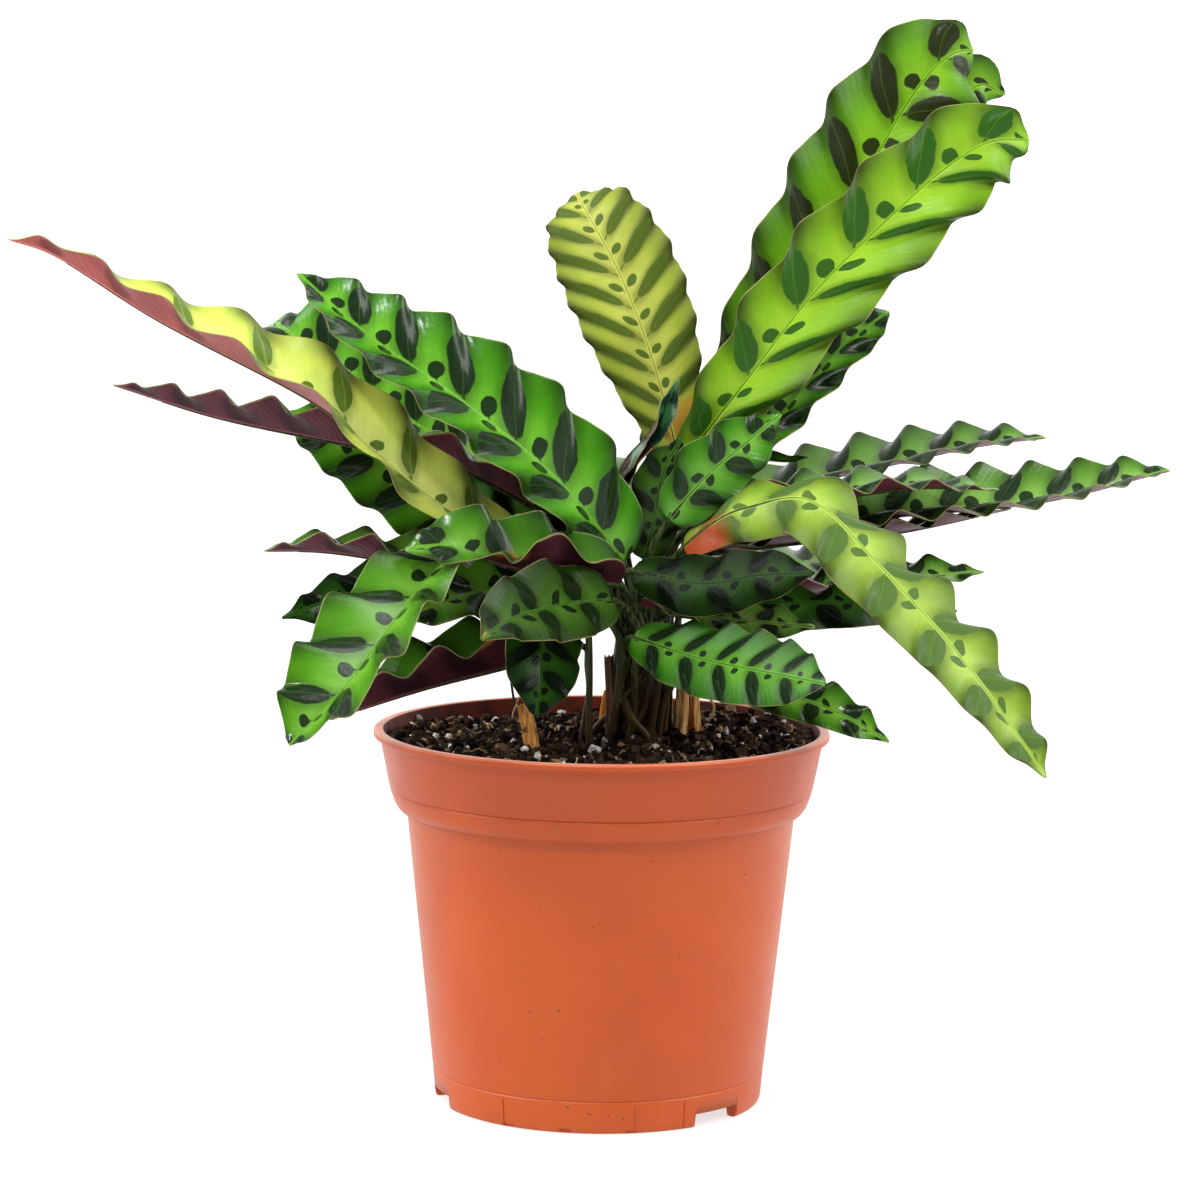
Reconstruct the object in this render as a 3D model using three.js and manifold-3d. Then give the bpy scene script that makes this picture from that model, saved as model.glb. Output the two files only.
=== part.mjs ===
// A rattlesnake-pattern calathea in a plain 12 cm nursery pot. Millimetres, +Z up.
// The origin is on the floor under the pot's centre, and the plant's front faces -Y.
import * as THREE from "three";
import { mergeVertices } from "three/addons/utils/BufferGeometryUtils.js";
import Module from "manifold-3d";

const wasm = await Module();
wasm.setup();

// ---- Driving dimensions, in millimetres and degrees unless a name says otherwise ----

const POT = {
  lipRadius: 60,
  lipInnerRadius: 57.4,
  height: 98.4,
  lipThickness: 1.8,
  collarTopRadius: 58.3,
  collarGrooveRadius: 55.6,
  collarGrooveZ: 83,
  collarFootRadius: 54.4,
  collarFootZ: 79.2,
  bodyTopRadius: 51.2,
  bodyTopZ: 77.3,
  bodyFootRadius: 43.9,
  footGrooveZ: 8.5,
  footRadius: 42.8,
  footInnerRadius: 40.3,
  floorZ: 4,
  wall: 1.2,
  sides: 44,
};
const NOTCH = { angles: [-44, 76, 196], widthDegrees: 21, height: 3.6, depth: 8 };
const DRAIN_HOLE = { count: 8, radius: 3.5, circle: 30, sides: 12 };

const SOIL = {
  gap: 0.4,
  edgeLevel: 93.5,
  edgeRise: 4.3,
  edgeRiseAngle: 35,
  heapHeight: 4.2,
  heapCentre: [7, 3],
  heapSpread: 24,
  sides: 30,
  rings: [13, 26, 38, 49],
};

// The stalks stand in two bundles with a clear gap between them.
const CROWN = {
  main: { centre: [9.5, 3], side: 1 },
  left: { centre: [-1.5, -9], side: -1 },
  spread: [0.3, 0.45],
  gapX: [-2.4, 2.2],
  gapZ: [104, 127],
};
const SOCKET = { depth: 9, gap: 0.3, sides: 8 };
const STALK = { radius: 0.95, pull: 0.3, steps: 5, spacing: 2.7 };
// Sides 2 and 5 of a blade are split along the other diagonal, so that the upper and lower
// faces of each half bend along the same line and can't cross where the blade twists.
const BLADE = {
  thickness: 0.8,
  tipHalfWidth: 0.5,
  midribShare: 0.12,
  clearance: 2.2,
  tipThicknessShare: 0.5,
  crossedSides: [2, 5],
};
const BLADE_STATIONS = [0.06, 0.15, 0.28, 0.43, 0.58, 0.72, 0.83, 0.92, 1];
const USUAL_SHAPE = [0.45, 0.6];

// Points nearer than this are one point.
const WELD = 1e-4;

const COLOURS = {
  pot: 0xc9663c,
  soil: 0x2c211b,
  mature: 0x3f9a2f,
  fresh: 0x6aa838,
  young: 0xb5c552,
  shaded: 0x27521f,
  dried: 0xb67a3e,
  sheath: 0x6b4a34,
  shoot: 0x7fa050,
};

// The eye that the leaves were placed from: it stands before the plant, a little above the pot's rim.
// A place in its picture is in pixels, on a picture that is pictureWidth wide and high.
const EYE = {
  distance: 1050,
  elevation: 7.05,
  roll: 0.64,
  target: [-0.83, 0, 132.4],
  focalPixels: 4003,
  pictureWidth: 1200,
};

// Each leaf is one blade with its own stalk.
//   midrib     points along the blade's middle, from its base to its tip: the column and row where the
//              eye sees the point, and how far it lies behind (+) or before (-) the pot's axis
//   halfWidth  from the midrib to the margin, where the blade is widest
//   shape      how blunt the base and the tip are: small numbers are blunt
//   turns      how far the left and the right half turn towards the eye, at base, middle and tip:
//              0 lies flat in the picture, 90 points at the eye, and more than 90 shows the underside
//   bundle     the bundle that its stalk belongs to, where that isn't the main one
const LEAVES = [
  {
    name: "far_left_pale", tone: "young", halfWidth: 13.5,
    midrib: [
      [522, 548, -6], [444, 508, -12], [372, 450, -17], [311, 400, -22], [160, 321, -24],
      [59, 258, -24], [8, 239, -24],
    ],
    turns: [[55, -10], [98, -20], [130, -70]],
  },
  {
    name: "left_purple", tone: "mature", halfWidth: 13,
    midrib: [[560, 520, 6], [450, 465, 6], [330, 441, 4], [215, 417, 2], [113, 385, 0]],
    turns: [[110, -60], [125, -65], [125, -65]],
  },
  {
    name: "left_back_green", tone: "mature", halfWidth: 14, shape: [0.45, 0.28],
    midrib: [
      [570, 515, 15], [480, 460, 28.7], [411, 421, 35], [335, 362, 40], [288, 332, 43],
      [275, 322, 49],
    ],
    turns: [[100, -20], [45, -10], [30, -10]],
  },
  {
    name: "left_back_low", tone: "mature", halfWidth: 13,
    midrib: [[545, 545, 10], [470, 520, 13.5], [410, 480, 16.5], [345, 440, 19], [283, 412, 22]],
    turns: [[20, -5], [10, 0], [10, 0]],
  },
  {
    name: "left_big", tone: "mature", halfWidth: 18, shape: [0.42, 0.6],
    midrib: [[624, 562, -6], [557, 480, -11], [460, 400, -15], [368, 336, -15], [297, 274, -12]],
    turns: [[62, -12], [66, -12], [66, -22]],
  },
  {
    name: "left_mid_front", tone: "mature", halfWidth: 14,
    midrib: [[620, 584, -18], [560, 577, -27], [505, 566, -32], [450, 547, -38], [405, 550, -40]],
    turns: [[125, -5], [125, -10], [40, -30]],
  },
  {
    name: "left_small_tip", tone: "mature", halfWidth: 10,
    midrib: [[545, 578, -4], [470, 572, -6], [400, 562, -8], [325, 552, -9], [264, 551, -10]],
    turns: [[110, -50], [115, -45], [125, -50]],
  },
  {
    name: "front_left_big", tone: "mature", halfWidth: 16, shape: [0.65, 0.4],
    midrib: [[490, 535, -22], [440, 566, -32], [388, 630, -52], [345, 688, -66], [290, 746, -79]],
    turns: [[60, -15], [72, -8], [72, -5]],
  },
  {
    name: "left_small_dark", tone: "mature", halfWidth: 7,
    midrib: [[480, 570, -18], [400, 582, -22], [340, 598, -25], [282, 618, -27]],
    turns: [[10, -10], [10, -10], [10, -10]],
  },
  {
    name: "left_mid_behind", tone: "mature", halfWidth: 10,
    midrib: [[560, 572, -16], [483, 591, -24], [440, 604, -30], [395, 622, -33]],
    turns: [[50, -20], [50, -20], [50, -20]],
  },
  {
    name: "left_low", bundle: "left", tone: "mature", halfWidth: 14,
    midrib: [
      [575, 645, -8], [508, 666, -14], [434, 686, -22], [380, 703, -28], [330, 720, -32],
    ],
    turns: [[115, -25], [122, -15], [125, -40]],
  },
  {
    name: "front_centre_left", tone: "mature", halfWidth: 11.5,
    midrib: [[612, 600, -25], [575, 603, -37], [540, 610, -51], [508, 621, -65], [481, 640, -77]],
    turns: [[40, -10], [35, -5], [30, -5]],
  },
  {
    name: "front_centre_low", bundle: "left", tone: "mature", halfWidth: 10, shape: [0.4, 0.32],
    midrib: [[575, 600, -20], [548, 622, -34], [541, 650, -40], [540, 685, -44], [536, 716, -46]],
    turns: [[10, 20], [0, 25], [0, 25]],
  },
  {
    name: "centre_pale", tone: "young", halfWidth: 15.5, shape: [0.9, 0.38],
    midrib: [
      [682, 482, 12], [668, 414, 14], [645, 337, 17], [618, 270, 22], [592, 222, 28],
      [583, 206, 33], [577, 193, 39],
    ],
    turns: [[5, 5], [5, 5], [5, 5]],
  },
  {
    name: "centre_small", tone: "mature", halfWidth: 7.5,
    midrib: [[645, 560, -2], [655, 515, -3], [664, 470, -3], [682, 438, -1]],
    turns: [[0, 0], [0, 0], [0, 0]],
  },
  {
    name: "centre_narrow", tone: "mature", halfWidth: 6,
    midrib: [[612, 500, 4], [626, 462, 3], [652, 430, 2], [679, 378, 2]],
    turns: [[110, 50], [110, 60], [110, 60]],
  },
  {
    name: "centre_dark", tone: "shaded", halfWidth: 5,
    midrib: [[590, 540, -2], [556, 512, -4], [526, 494, -6]],
    turns: [[20, 0], [20, 0], [20, 0]],
  },
  {
    name: "centre_right_glossy", tone: "mature", halfWidth: 9,
    midrib: [[668, 520, -6], [706, 477, -8], [740, 448, -9], [781, 414, -8]],
    turns: [[-5, 10], [-5, 10], [-5, 10]],
  },
  {
    name: "centre_curl", tone: "shaded", halfWidth: 2.5,
    midrib: [[724, 490, 14], [760, 462, 12], [808, 458, 10]],
    turns: [[0, 60], [0, 60], [0, 60]],
  },
  {
    name: "centre_right_small", tone: "shaded", halfWidth: 8.5,
    midrib: [[632, 570, -16], [700, 584, -26], [755, 576, -34], [815, 573, -42]],
    turns: [[-30, 10], [-30, 10], [-20, 10]],
  },
  {
    name: "right_back_tall", tone: "fresh", halfWidth: 18.3, shape: [0.7, 0.38],
    midrib: [
      [692, 474, 18], [755, 366, 23], [814, 264, 27], [871, 165, 31], [903, 110, 34],
      [930, 70, 36], [953, 50, 39], [973, 46, 44],
    ],
    turns: [[5, 5], [5, 5], [5, 5]],
  },
  {
    name: "right_back_tall_behind", tone: "mature", halfWidth: 12.5, shape: [0.6, 0.4],
    midrib: [
      [690, 470, 30], [752, 366, 38], [834, 250, 46], [918, 148, 51], [973, 88, 54],
      [1005, 94, 58],
    ],
    turns: [[5, 5], [5, 5], [5, 5]],
  },
  {
    name: "right_front_tall", tone: "young", halfWidth: 14, shape: [0.45, 0.28],
    midrib: [
      [680, 466, 6], [737, 393, 4], [816, 291, 2], [903, 205, 2], [950, 165, 4],
      [990, 142, 7], [1029, 140, 12],
    ],
    turns: [[5, 10], [5, 10], [5, 5]],
  },
  {
    name: "right_dark_mid", tone: "mature", halfWidth: 11, shape: [0.45, 0.45],
    midrib: [[715, 490, 8], [778, 418, 12], [842, 348, 17], [889, 312, 23]],
    turns: [[0, 60], [0, 60], [0, 50]],
  },
  {
    name: "right_long_1", tone: "mature", halfWidth: 13.5,
    midrib: [[708, 512, 20], [800, 484, 29], [900, 462, 36], [978, 446, 40], [1046, 438, 42]],
    turns: [[-52, 86], [-52, 86], [-52, 92]],
  },
  {
    name: "right_long_2", tone: "mature", halfWidth: 12.5,
    midrib: [[690, 528, -2], [760, 508, 0], [840, 497, 4], [920, 488, 7], [999, 490, 8]],
    turns: [[-50, 128], [-60, 100], [-70, 90]],
  },
  {
    name: "right_long_3", tone: "mature", halfWidth: 14, shape: [0.45, 0.5],
    midrib: [[705, 540, 4], [800, 528, 10], [900, 515, 16], [1040, 502, 20], [1170, 471, 20]],
    turns: [[-40, 88], [-38, 88], [-38, 90]],
  },
  {
    name: "right_long_4", tone: "mature", halfWidth: 10,
    midrib: [[708, 552, 9], [790, 543, 14], [900, 532, 16], [1011, 509, 20]],
    turns: [[-60, 100], [-60, 100], [-60, 100]],
  },
  {
    name: "right_pale_front", tone: "young", halfWidth: 12, shape: [0.5, 0.5],
    midrib: [
      [683, 548, -12], [712, 524, -15], [748, 508, -19], [812, 502, -28],
      [881, 568, -42], [966, 665, -56], [1046, 778, -66],
    ],
    turns: [[-65, 40], [-50, 25], [-15, 50]],
  },
  {
    name: "right_mid_back", tone: "mature", halfWidth: 10,
    midrib: [[680, 588, 0], [777, 600, 4], [882, 582, 8], [984, 572, 10]],
    turns: [[-50, 125], [-45, 105], [-40, 60]],
  },
  {
    name: "right_low_back", tone: "shaded", halfWidth: 8,
    midrib: [[680, 597, -9], [780, 603, -13], [874, 603, -13], [957, 611, -8]],
    turns: [[-60, 35], [-60, 30], [-60, 35]],
  },
  {
    name: "right_low_light", tone: "mature", halfWidth: 7,
    midrib: [[640, 606, -12], [690, 616, -17], [750, 622, -22], [815, 627, -25]],
    turns: [[-60, 120], [-40, 70], [-30, 20]],
  },
  {
    name: "front_right_low", tone: "mature", halfWidth: 10.5, shape: [0.45, 0.45],
    midrib: [[632, 637, -18], [700, 659, -32], [765, 672, -48], [826, 684, -62]],
    turns: [[-20, 25], [-20, 25], [-20, 20]],
  },
  {
    name: "right_low_small", tone: "mature", halfWidth: 7,
    midrib: [[700, 670, -14], [780, 693, -22], [835, 712, -30], [889, 742, -34]],
    turns: [[-10, 40], [-10, 35], [-10, 30]],
  },
  {
    name: "back_left_high", tone: "mature", halfWidth: 12,
    midrib: [[594, 550, 18], [532, 515, 38], [475, 488, 60], [428, 462, 80]],
    turns: [[55, -55], [55, -55], [55, -55]],
  },
  {
    name: "back_left_low", tone: "mature", halfWidth: 11,
    midrib: [[590, 565, 14], [530, 550, 30], [460, 528, 48], [400, 515, 62]],
    turns: [[65, -65], [65, -65], [65, -65]],
  },
  {
    name: "back_behind_big", tone: "mature", halfWidth: 11,
    midrib: [[622, 535, 24], [602, 488, 47], [576, 448, 66], [557, 420, 80]],
    turns: [[30, -30], [30, -30], [30, -30]],
  },
  {
    name: "back_middle", tone: "mature", halfWidth: 9.5,
    midrib: [[648, 545, 26], [652, 515, 50], [650, 485, 68], [645, 465, 80]],
    turns: [[0, 0], [0, 0], [0, 0]],
  },
  {
    name: "back_right_middle", tone: "mature", halfWidth: 11,
    midrib: [[672, 545, 25], [696, 505, 46], [716, 478, 64], [737, 455, 79]],
    turns: [[-30, 30], [-30, 30], [-30, 30]],
  },
  {
    name: "back_right_high", tone: "mature", halfWidth: 11,
    midrib: [[690, 548, 14], [730, 520, 28], [772, 502, 40], [805, 492, 50]],
    turns: [[-40, 40], [-40, 40], [-40, 40]],
  },
  {
    name: "back_right_low", tone: "mature", halfWidth: 11,
    midrib: [[684, 570, 15], [730, 568, 32], [790, 564, 50], [850, 558, 64]],
    turns: [[-50, 50], [-50, 50], [-50, 50]],
  },
  {
    name: "back_upright", tone: "mature", halfWidth: 8,
    midrib: [[668, 490, 28], [668, 410, 44], [648, 335, 58], [626, 275, 70]],
    turns: [[0, 0], [0, 0], [0, 0]],
  },
  {
    name: "back_left_upright", tone: "mature", halfWidth: 11.5,
    midrib: [[605, 530, 20], [560, 462, 42], [510, 412, 60], [460, 372, 74]],
    turns: [[20, -20], [20, -20], [20, -20]],
  },
];

// What is left of old leaf stalks, and one new shoot. Each is round, and torn off at the top.
const REMAINS = [
  {
    name: "dried_stub_left", tone: "dried", footRadius: 2.1, topRadius: 1.5, teeth: 3,
    foot: [-17.5, -12], top: [-21, -12, 107],
  },
  {
    name: "dried_stub_right", tone: "dried", footRadius: 2, topRadius: 1.4, teeth: 3,
    foot: [20.5, 2], top: [21, 2, 112],
  },
  {
    name: "dried_stub_back", tone: "dried", footRadius: 1.9, topRadius: 1.4, teeth: 3,
    foot: [24.8, 8], top: [23.8, 8.5, 110.5],
  },
  {
    name: "dead_sheath", tone: "sheath", footRadius: 1.7, topRadius: 1.2, teeth: 2,
    foot: [2.6, -6.3], top: [1.8, -6.5, 119],
  },
  {
    name: "new_shoot", tone: "shoot", footRadius: 1.1, topRadius: 0.3, teeth: 0,
    foot: [18.6, 7.6], top: [17.9, 7.9, 111],
  },
];
const TORN_TOOTH_HEIGHT = 1.6;
const STUMP_WAIST_SHARE = 0.6;

// ---- Small helpers ----

const clamp01 = (v) => Math.min(Math.max(v, 0), 1);
const radians = THREE.MathUtils.degToRad;
const vector = ([x, y, z]) => new THREE.Vector3(x, y, z);

// A value between the three places base, middle and tip.
function alongLeaf([base, middle, tip], t) {
  return t < 0.5 ? THREE.MathUtils.lerp(base, middle, 2 * t) : THREE.MathUtils.lerp(middle, tip, 2 * t - 1);
}

function closedGeometry(positions, triangles) {
  const geometry = new THREE.BufferGeometry();
  geometry.setAttribute("position", new THREE.Float32BufferAttribute(positions, 3));
  geometry.setIndex(triangles);
  return geometry;
}

// A skin over rings that all have the same number of points, closed by a flat cap at each end.
function loft(rings, crossed = []) {
  const count = rings[0].length;
  const positions = rings.flat().flatMap((p) => [p.x, p.y, p.z]);
  const triangles = [];
  for (let i = 0; i + 1 < rings.length; i++) {
    for (let j = 0; j < count; j++) {
      const a = i * count + j;
      const b = i * count + ((j + 1) % count);
      if (crossed.includes(j)) triangles.push(a, a + count, b, b, a + count, b + count);
      else triangles.push(a, a + count, b + count, a, b + count, b);
    }
  }
  const last = (rings.length - 1) * count;
  for (let j = 1; j + 1 < count; j++) {
    triangles.push(0, j, j + 1);
    triangles.push(last, last + j + 1, last + j);
  }
  return closedGeometry(positions, triangles);
}

function toManifold(geometry) {
  const bare = geometry.clone();
  bare.deleteAttribute("normal");
  bare.deleteAttribute("uv");
  const merged = mergeVertices(bare, WELD);
  return new wasm.Manifold(
    new wasm.Mesh({
      numProp: 3,
      vertProperties: merged.attributes.position.array,
      triVerts: new Uint32Array(merged.index.array),
    }),
  );
}

function fromManifold(solid) {
  const mesh = solid.getMesh();
  return closedGeometry(Array.from(mesh.vertProperties), Array.from(mesh.triVerts));
}

// A cylinder that stands on z = bottom, ready to cut with.
function uprightCutter(radius, bottom, top, x, y, sides) {
  const geometry = new THREE.CylinderGeometry(radius, radius, top - bottom, sides);
  geometry.rotateX(Math.PI / 2);
  geometry.translate(x, y, (top + bottom) / 2);
  return toManifold(geometry);
}

// ---- Pot: one thin moulded shell, notched at the foot and pierced in its floor ----

function potWallRadius(z) {
  const low = POT.bodyFootRadius - POT.wall;
  const high = POT.bodyTopRadius - POT.wall;
  if (z <= POT.bodyTopZ) {
    const share = (z - POT.footGrooveZ) / (POT.bodyTopZ - POT.footGrooveZ);
    return low + (high - low) * share;
  }
  const share = clamp01((z - POT.collarGrooveZ) / (POT.height - POT.collarGrooveZ));
  return THREE.MathUtils.lerp(POT.collarGrooveRadius - POT.wall, POT.lipInnerRadius, share);
}

function makePot() {
  const lipZ = POT.height - POT.lipThickness;
  const edge = 0.4;
  const outside = [
    [0, POT.floorZ],
    [POT.footInnerRadius - 2 * edge, POT.floorZ],
    [POT.footInnerRadius, 0],
    [POT.footRadius, 0],
    [POT.footRadius + edge, 1],
    [POT.bodyFootRadius, POT.footGrooveZ],
    [POT.bodyTopRadius, POT.bodyTopZ],
    [POT.bodyTopRadius + POT.wall, POT.bodyTopZ],
    [POT.collarFootRadius, POT.collarFootZ],
    [POT.collarGrooveRadius, POT.collarGrooveZ],
    [POT.collarTopRadius, lipZ - edge],
    [POT.lipRadius, lipZ],
    [POT.lipRadius, POT.height - edge],
    [POT.lipRadius - edge, POT.height],
  ];
  const inside = [
    [POT.lipInnerRadius, POT.height],
    [POT.collarGrooveRadius - POT.wall, POT.collarGrooveZ],
    [POT.collarFootRadius - POT.wall, POT.collarFootZ + edge],
    [POT.bodyTopRadius - POT.wall, POT.bodyTopZ],
    [POT.bodyFootRadius - POT.wall, POT.footGrooveZ],
    [POT.footInnerRadius + POT.wall, POT.floorZ + POT.wall],
    [0, POT.floorZ + POT.wall],
  ];
  const profile = [...outside, ...inside].map(([r, z]) => new THREE.Vector2(r, z));
  const lathe = new THREE.LatheGeometry(profile, POT.sides);
  lathe.rotateX(Math.PI / 2);
  let solid = toManifold(lathe);

  const notchWidth = 2 * POT.footRadius * Math.sin(radians(NOTCH.widthDegrees / 2));
  for (const degrees of NOTCH.angles) {
    const notch = new THREE.BoxGeometry(NOTCH.depth, notchWidth, 2 * NOTCH.height);
    notch.translate(POT.footRadius, 0, 0);
    notch.rotateZ(radians(degrees));
    solid = solid.subtract(toManifold(notch));
  }
  const above = POT.floorZ + 2 * POT.wall;
  for (let i = 0; i < DRAIN_HOLE.count; i++) {
    const angle = (2 * Math.PI * (i + 0.5)) / DRAIN_HOLE.count;
    const x = DRAIN_HOLE.circle * Math.cos(angle);
    const y = DRAIN_HOLE.circle * Math.sin(angle);
    solid = solid.subtract(uprightCutter(DRAIN_HOLE.radius, 0, above, x, y, DRAIN_HOLE.sides));
  }
  return fromManifold(solid);
}

// ---- Soil: it fills the pot to just below the rim, heaped round the crown and at the back right ----

function soilEdge(angle) {
  const towards = Math.cos(angle - radians(SOIL.edgeRiseAngle));
  return SOIL.edgeLevel + SOIL.edgeRise * Math.max(0, towards) ** 2;
}

function soilHeight(x, y) {
  const edge = soilEdge(Math.atan2(y, x));
  const share = clamp01(Math.hypot(x, y) / POT.lipInnerRadius) ** 2;
  const away = (x - SOIL.heapCentre[0]) ** 2 + (y - SOIL.heapCentre[1]) ** 2;
  const heap = SOIL.heapHeight * Math.exp(-away / (2 * SOIL.heapSpread ** 2));
  return (SOIL.edgeLevel + heap) * (1 - share) + edge * share;
}

function makeSoil(sockets) {
  const bottom = POT.floorZ + POT.wall + SOIL.gap;
  const chamfer = 2;
  const ringAt = (place) =>
    Array.from({ length: SOIL.sides }, (_, i) => place((2 * Math.PI * i) / SOIL.sides));
  const turned = (r, angle, z) => new THREE.Vector3(r * Math.cos(angle), r * Math.sin(angle), z);
  const onWall = (angle, z) => turned(potWallRadius(z) - SOIL.gap, angle, z);
  const rings = [ringAt((a) => turned(potWallRadius(bottom) - chamfer, a, bottom))];
  for (const z of [bottom + chamfer, POT.bodyTopZ, POT.collarGrooveZ]) {
    rings.push(ringAt((a) => onWall(a, z)));
  }
  rings.push(ringAt((a) => onWall(a, soilEdge(a))));
  for (const r of [...SOIL.rings].reverse()) {
    rings.push(ringAt((a) => turned(r, a, soilHeight(r * Math.cos(a), r * Math.sin(a)))));
  }
  // The loft runs upwards, so its rings turn the other way round to face out.
  let solid = toManifold(loft(rings.map((ring) => ring.reverse())));
  for (const socket of sockets) solid = solid.subtract(socket);
  return fromManifold(solid);
}

// The hole in the soil that a stalk stands in.
function socketFor(foot, radius) {
  const bottom = foot.z - SOCKET.depth - SOCKET.gap;
  return uprightCutter(radius + SOCKET.gap, bottom, foot.z + SOCKET.depth, foot.x, foot.y, SOCKET.sides);
}

// ---- The eye's picture ----

const eyeTilt = radians(EYE.elevation);
const eyeForward = new THREE.Vector3(0, Math.cos(eyeTilt), -Math.sin(eyeTilt));
const eyePlace = vector(EYE.target).addScaledVector(eyeForward, -EYE.distance);
const eyeRight = new THREE.Vector3(1, 0, 0).applyAxisAngle(eyeForward, -radians(EYE.roll));
const eyeUp = eyeRight.clone().cross(eyeForward);

// The point that the eye sees at a column and row, at a given depth.
function seenAt([column, row, depth]) {
  const centre = EYE.pictureWidth / 2;
  const ray = eyeForward
    .clone()
    .addScaledVector(eyeRight, (column - centre) / EYE.focalPixels)
    .addScaledVector(eyeUp, (centre - row) / EYE.focalPixels);
  return eyePlace.clone().addScaledVector(ray, (depth - eyePlace.y) / ray.y);
}

// ---- Leaves ----

function bladeHalfWidth(leaf, t) {
  const [base, tip] = leaf.shape ?? USUAL_SHAPE;
  const widest = base / (base + tip);
  const peak = widest ** base * (1 - widest) ** tip;
  return Math.max((leaf.halfWidth * t ** base * (1 - t) ** tip) / peak, BLADE.tipHalfWidth);
}

// Where a blade is at t along it: its midrib, the way each half reaches, and the way its upper side faces.
function bladeFrame(leaf, t) {
  const centre = leaf.curve.getPointAt(t);
  const along = leaf.curve.getTangentAt(t);
  const towardsEye = eyePlace.clone().sub(centre);
  const out = towardsEye.addScaledVector(along, -towardsEye.dot(along)).normalize();
  const right = along.clone().cross(out);
  const reach = (side, turn) =>
    right.clone().multiplyScalar(side * Math.cos(turn)).addScaledVector(out, Math.sin(turn));
  const leftReach = reach(-1, radians(alongLeaf(leaf.turns.map((turn) => turn[0]), t)));
  const rightReach = reach(1, radians(alongLeaf(leaf.turns.map((turn) => turn[1]), t)));
  const face = rightReach.clone().sub(leftReach).cross(along).normalize();
  return { centre, along, leftReach, rightReach, face, halfWidth: bladeHalfWidth(leaf, t) };
}

// Six points round a stalk, in the order that bladeRing has them.
function stalkRing(centre, along, face, radius) {
  const side = along.clone().cross(face);
  return Array.from({ length: 6 }, (_, i) => {
    const angle = (Math.PI * i) / 3;
    return centre
      .clone()
      .addScaledVector(side, radius * Math.cos(angle))
      .addScaledVector(face, radius * Math.sin(angle));
  });
}

// A thin wedge each side of the midrib: right margin, midrib above, left margin, midrib below.
function bladeRing(frame, thickness) {
  const point = (reach, share, up) =>
    frame.centre
      .clone()
      .addScaledVector(reach, share * frame.halfWidth)
      .addScaledVector(frame.face, up);
  const { leftReach, rightReach } = frame;
  const near = BLADE.midribShare;
  const half = thickness / 2;
  return [
    point(rightReach, 1, 0),
    point(rightReach, near, half),
    point(leftReach, near, half),
    point(leftReach, 1, 0),
    point(leftReach, near, -half),
    point(rightReach, near, -half),
  ];
}

// The stalk's own curve, from the soil straight up and then into the blade, as a few points.
function stalkPoints(leaf) {
  const base = leaf.curve.getPointAt(0);
  const bundle = CROWN[leaf.bundle ?? "main"];
  const [x, y] = bundle.centre.map((c, i) => c + CROWN.spread[i] * (base.getComponent(i) - c));
  const foot = new THREE.Vector3(x, y, soilHeight(x, y));
  const reach = STALK.pull * foot.distanceTo(base);
  const curve = new THREE.CubicBezierCurve3(
    foot,
    foot.clone().setZ(foot.z + reach),
    base.clone().addScaledVector(leaf.curve.getTangentAt(0), -reach),
    base,
  );
  return curve.getPoints(STALK.steps);
}

function makeLeaf(leaf) {
  const centres = [leaf.stalk[0].clone().setZ(leaf.stalk[0].z - SOCKET.depth), ...leaf.stalk];
  const rings = [];
  let face = bladeFrame(leaf, 0).face;
  for (let i = centres.length - 1; i >= 0; i--) {
    const before = centres[Math.max(i - 1, 0)];
    const after = centres[Math.min(i + 1, centres.length - 1)];
    const along = i < 2 ? new THREE.Vector3(0, 0, 1) : after.clone().sub(before).normalize();
    face = face.clone().addScaledVector(along, -face.dot(along)).normalize();
    rings.unshift(stalkRing(centres[i], along, face, STALK.radius));
  }
  for (const t of BLADE_STATIONS) {
    const share = t === 1 ? BLADE.tipThicknessShare : 1;
    rings.push(bladeRing(bladeFrame(leaf, t), BLADE.thickness * share));
  }
  return loft(rings, BLADE.crossedSides);
}

// ---- Room for every stalk: they nudge one another aside, and keep off the blades ----

const SETTLE = { passes: 200, share: 0.25, cell: 4, samplesPerStep: 6, bladeStations: 40, nearCrown: 55 };

// Points along a stalk or a stub. Each knows whose it is and how much room others leave round it.
function samplesOf(points, owner, room) {
  const samples = [];
  for (let step = 0; step + 1 < points.length; step++) {
    for (let k = 0; k < SETTLE.samplesPerStep; k++) {
      const share = k / SETTLE.samplesPerStep;
      samples.push({ owner, room, step, share, place: points[step].clone().lerp(points[step + 1], share) });
    }
  }
  return samples;
}

// Points over the inner part of a blade, which is all that a stalk can meet.
function bladeSamples(leaf) {
  const samples = [];
  for (let i = 1; i < SETTLE.bladeStations; i++) {
    const frame = bladeFrame(leaf, i / SETTLE.bladeStations);
    for (const reach of [frame.leftReach, frame.rightReach]) {
      for (const share of [0, 0.2, 0.4, 0.6, 0.8, 1]) {
        const place = frame.centre.clone().addScaledVector(reach, share * frame.halfWidth);
        samples.push({ owner: leaf, room: BLADE.clearance, place });
      }
    }
  }
  return samples.filter(({ place }) => Math.hypot(place.x, place.y) < SETTLE.nearCrown);
}

// Samples filed by the cell of space they lie in, so that a place's neighbours are quick to find.
const cellOf = (place) => place.toArray().map((v) => Math.round(v / SETTLE.cell));

function fileByCell(samples) {
  const cells = new Map();
  for (const sample of samples) {
    const key = cellOf(sample.place).join();
    if (!cells.has(key)) cells.set(key, []);
    cells.get(key).push(sample);
  }
  return cells;
}

function neighbours(cells, place) {
  const [i, j, k] = cellOf(place);
  const found = [];
  for (const di of [-1, 0, 1]) {
    for (const dj of [-1, 0, 1]) {
      for (const dk of [-1, 0, 1]) found.push(...(cells.get([i + di, j + dj, k + dk].join()) ?? []));
    }
  }
  return found;
}

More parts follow.
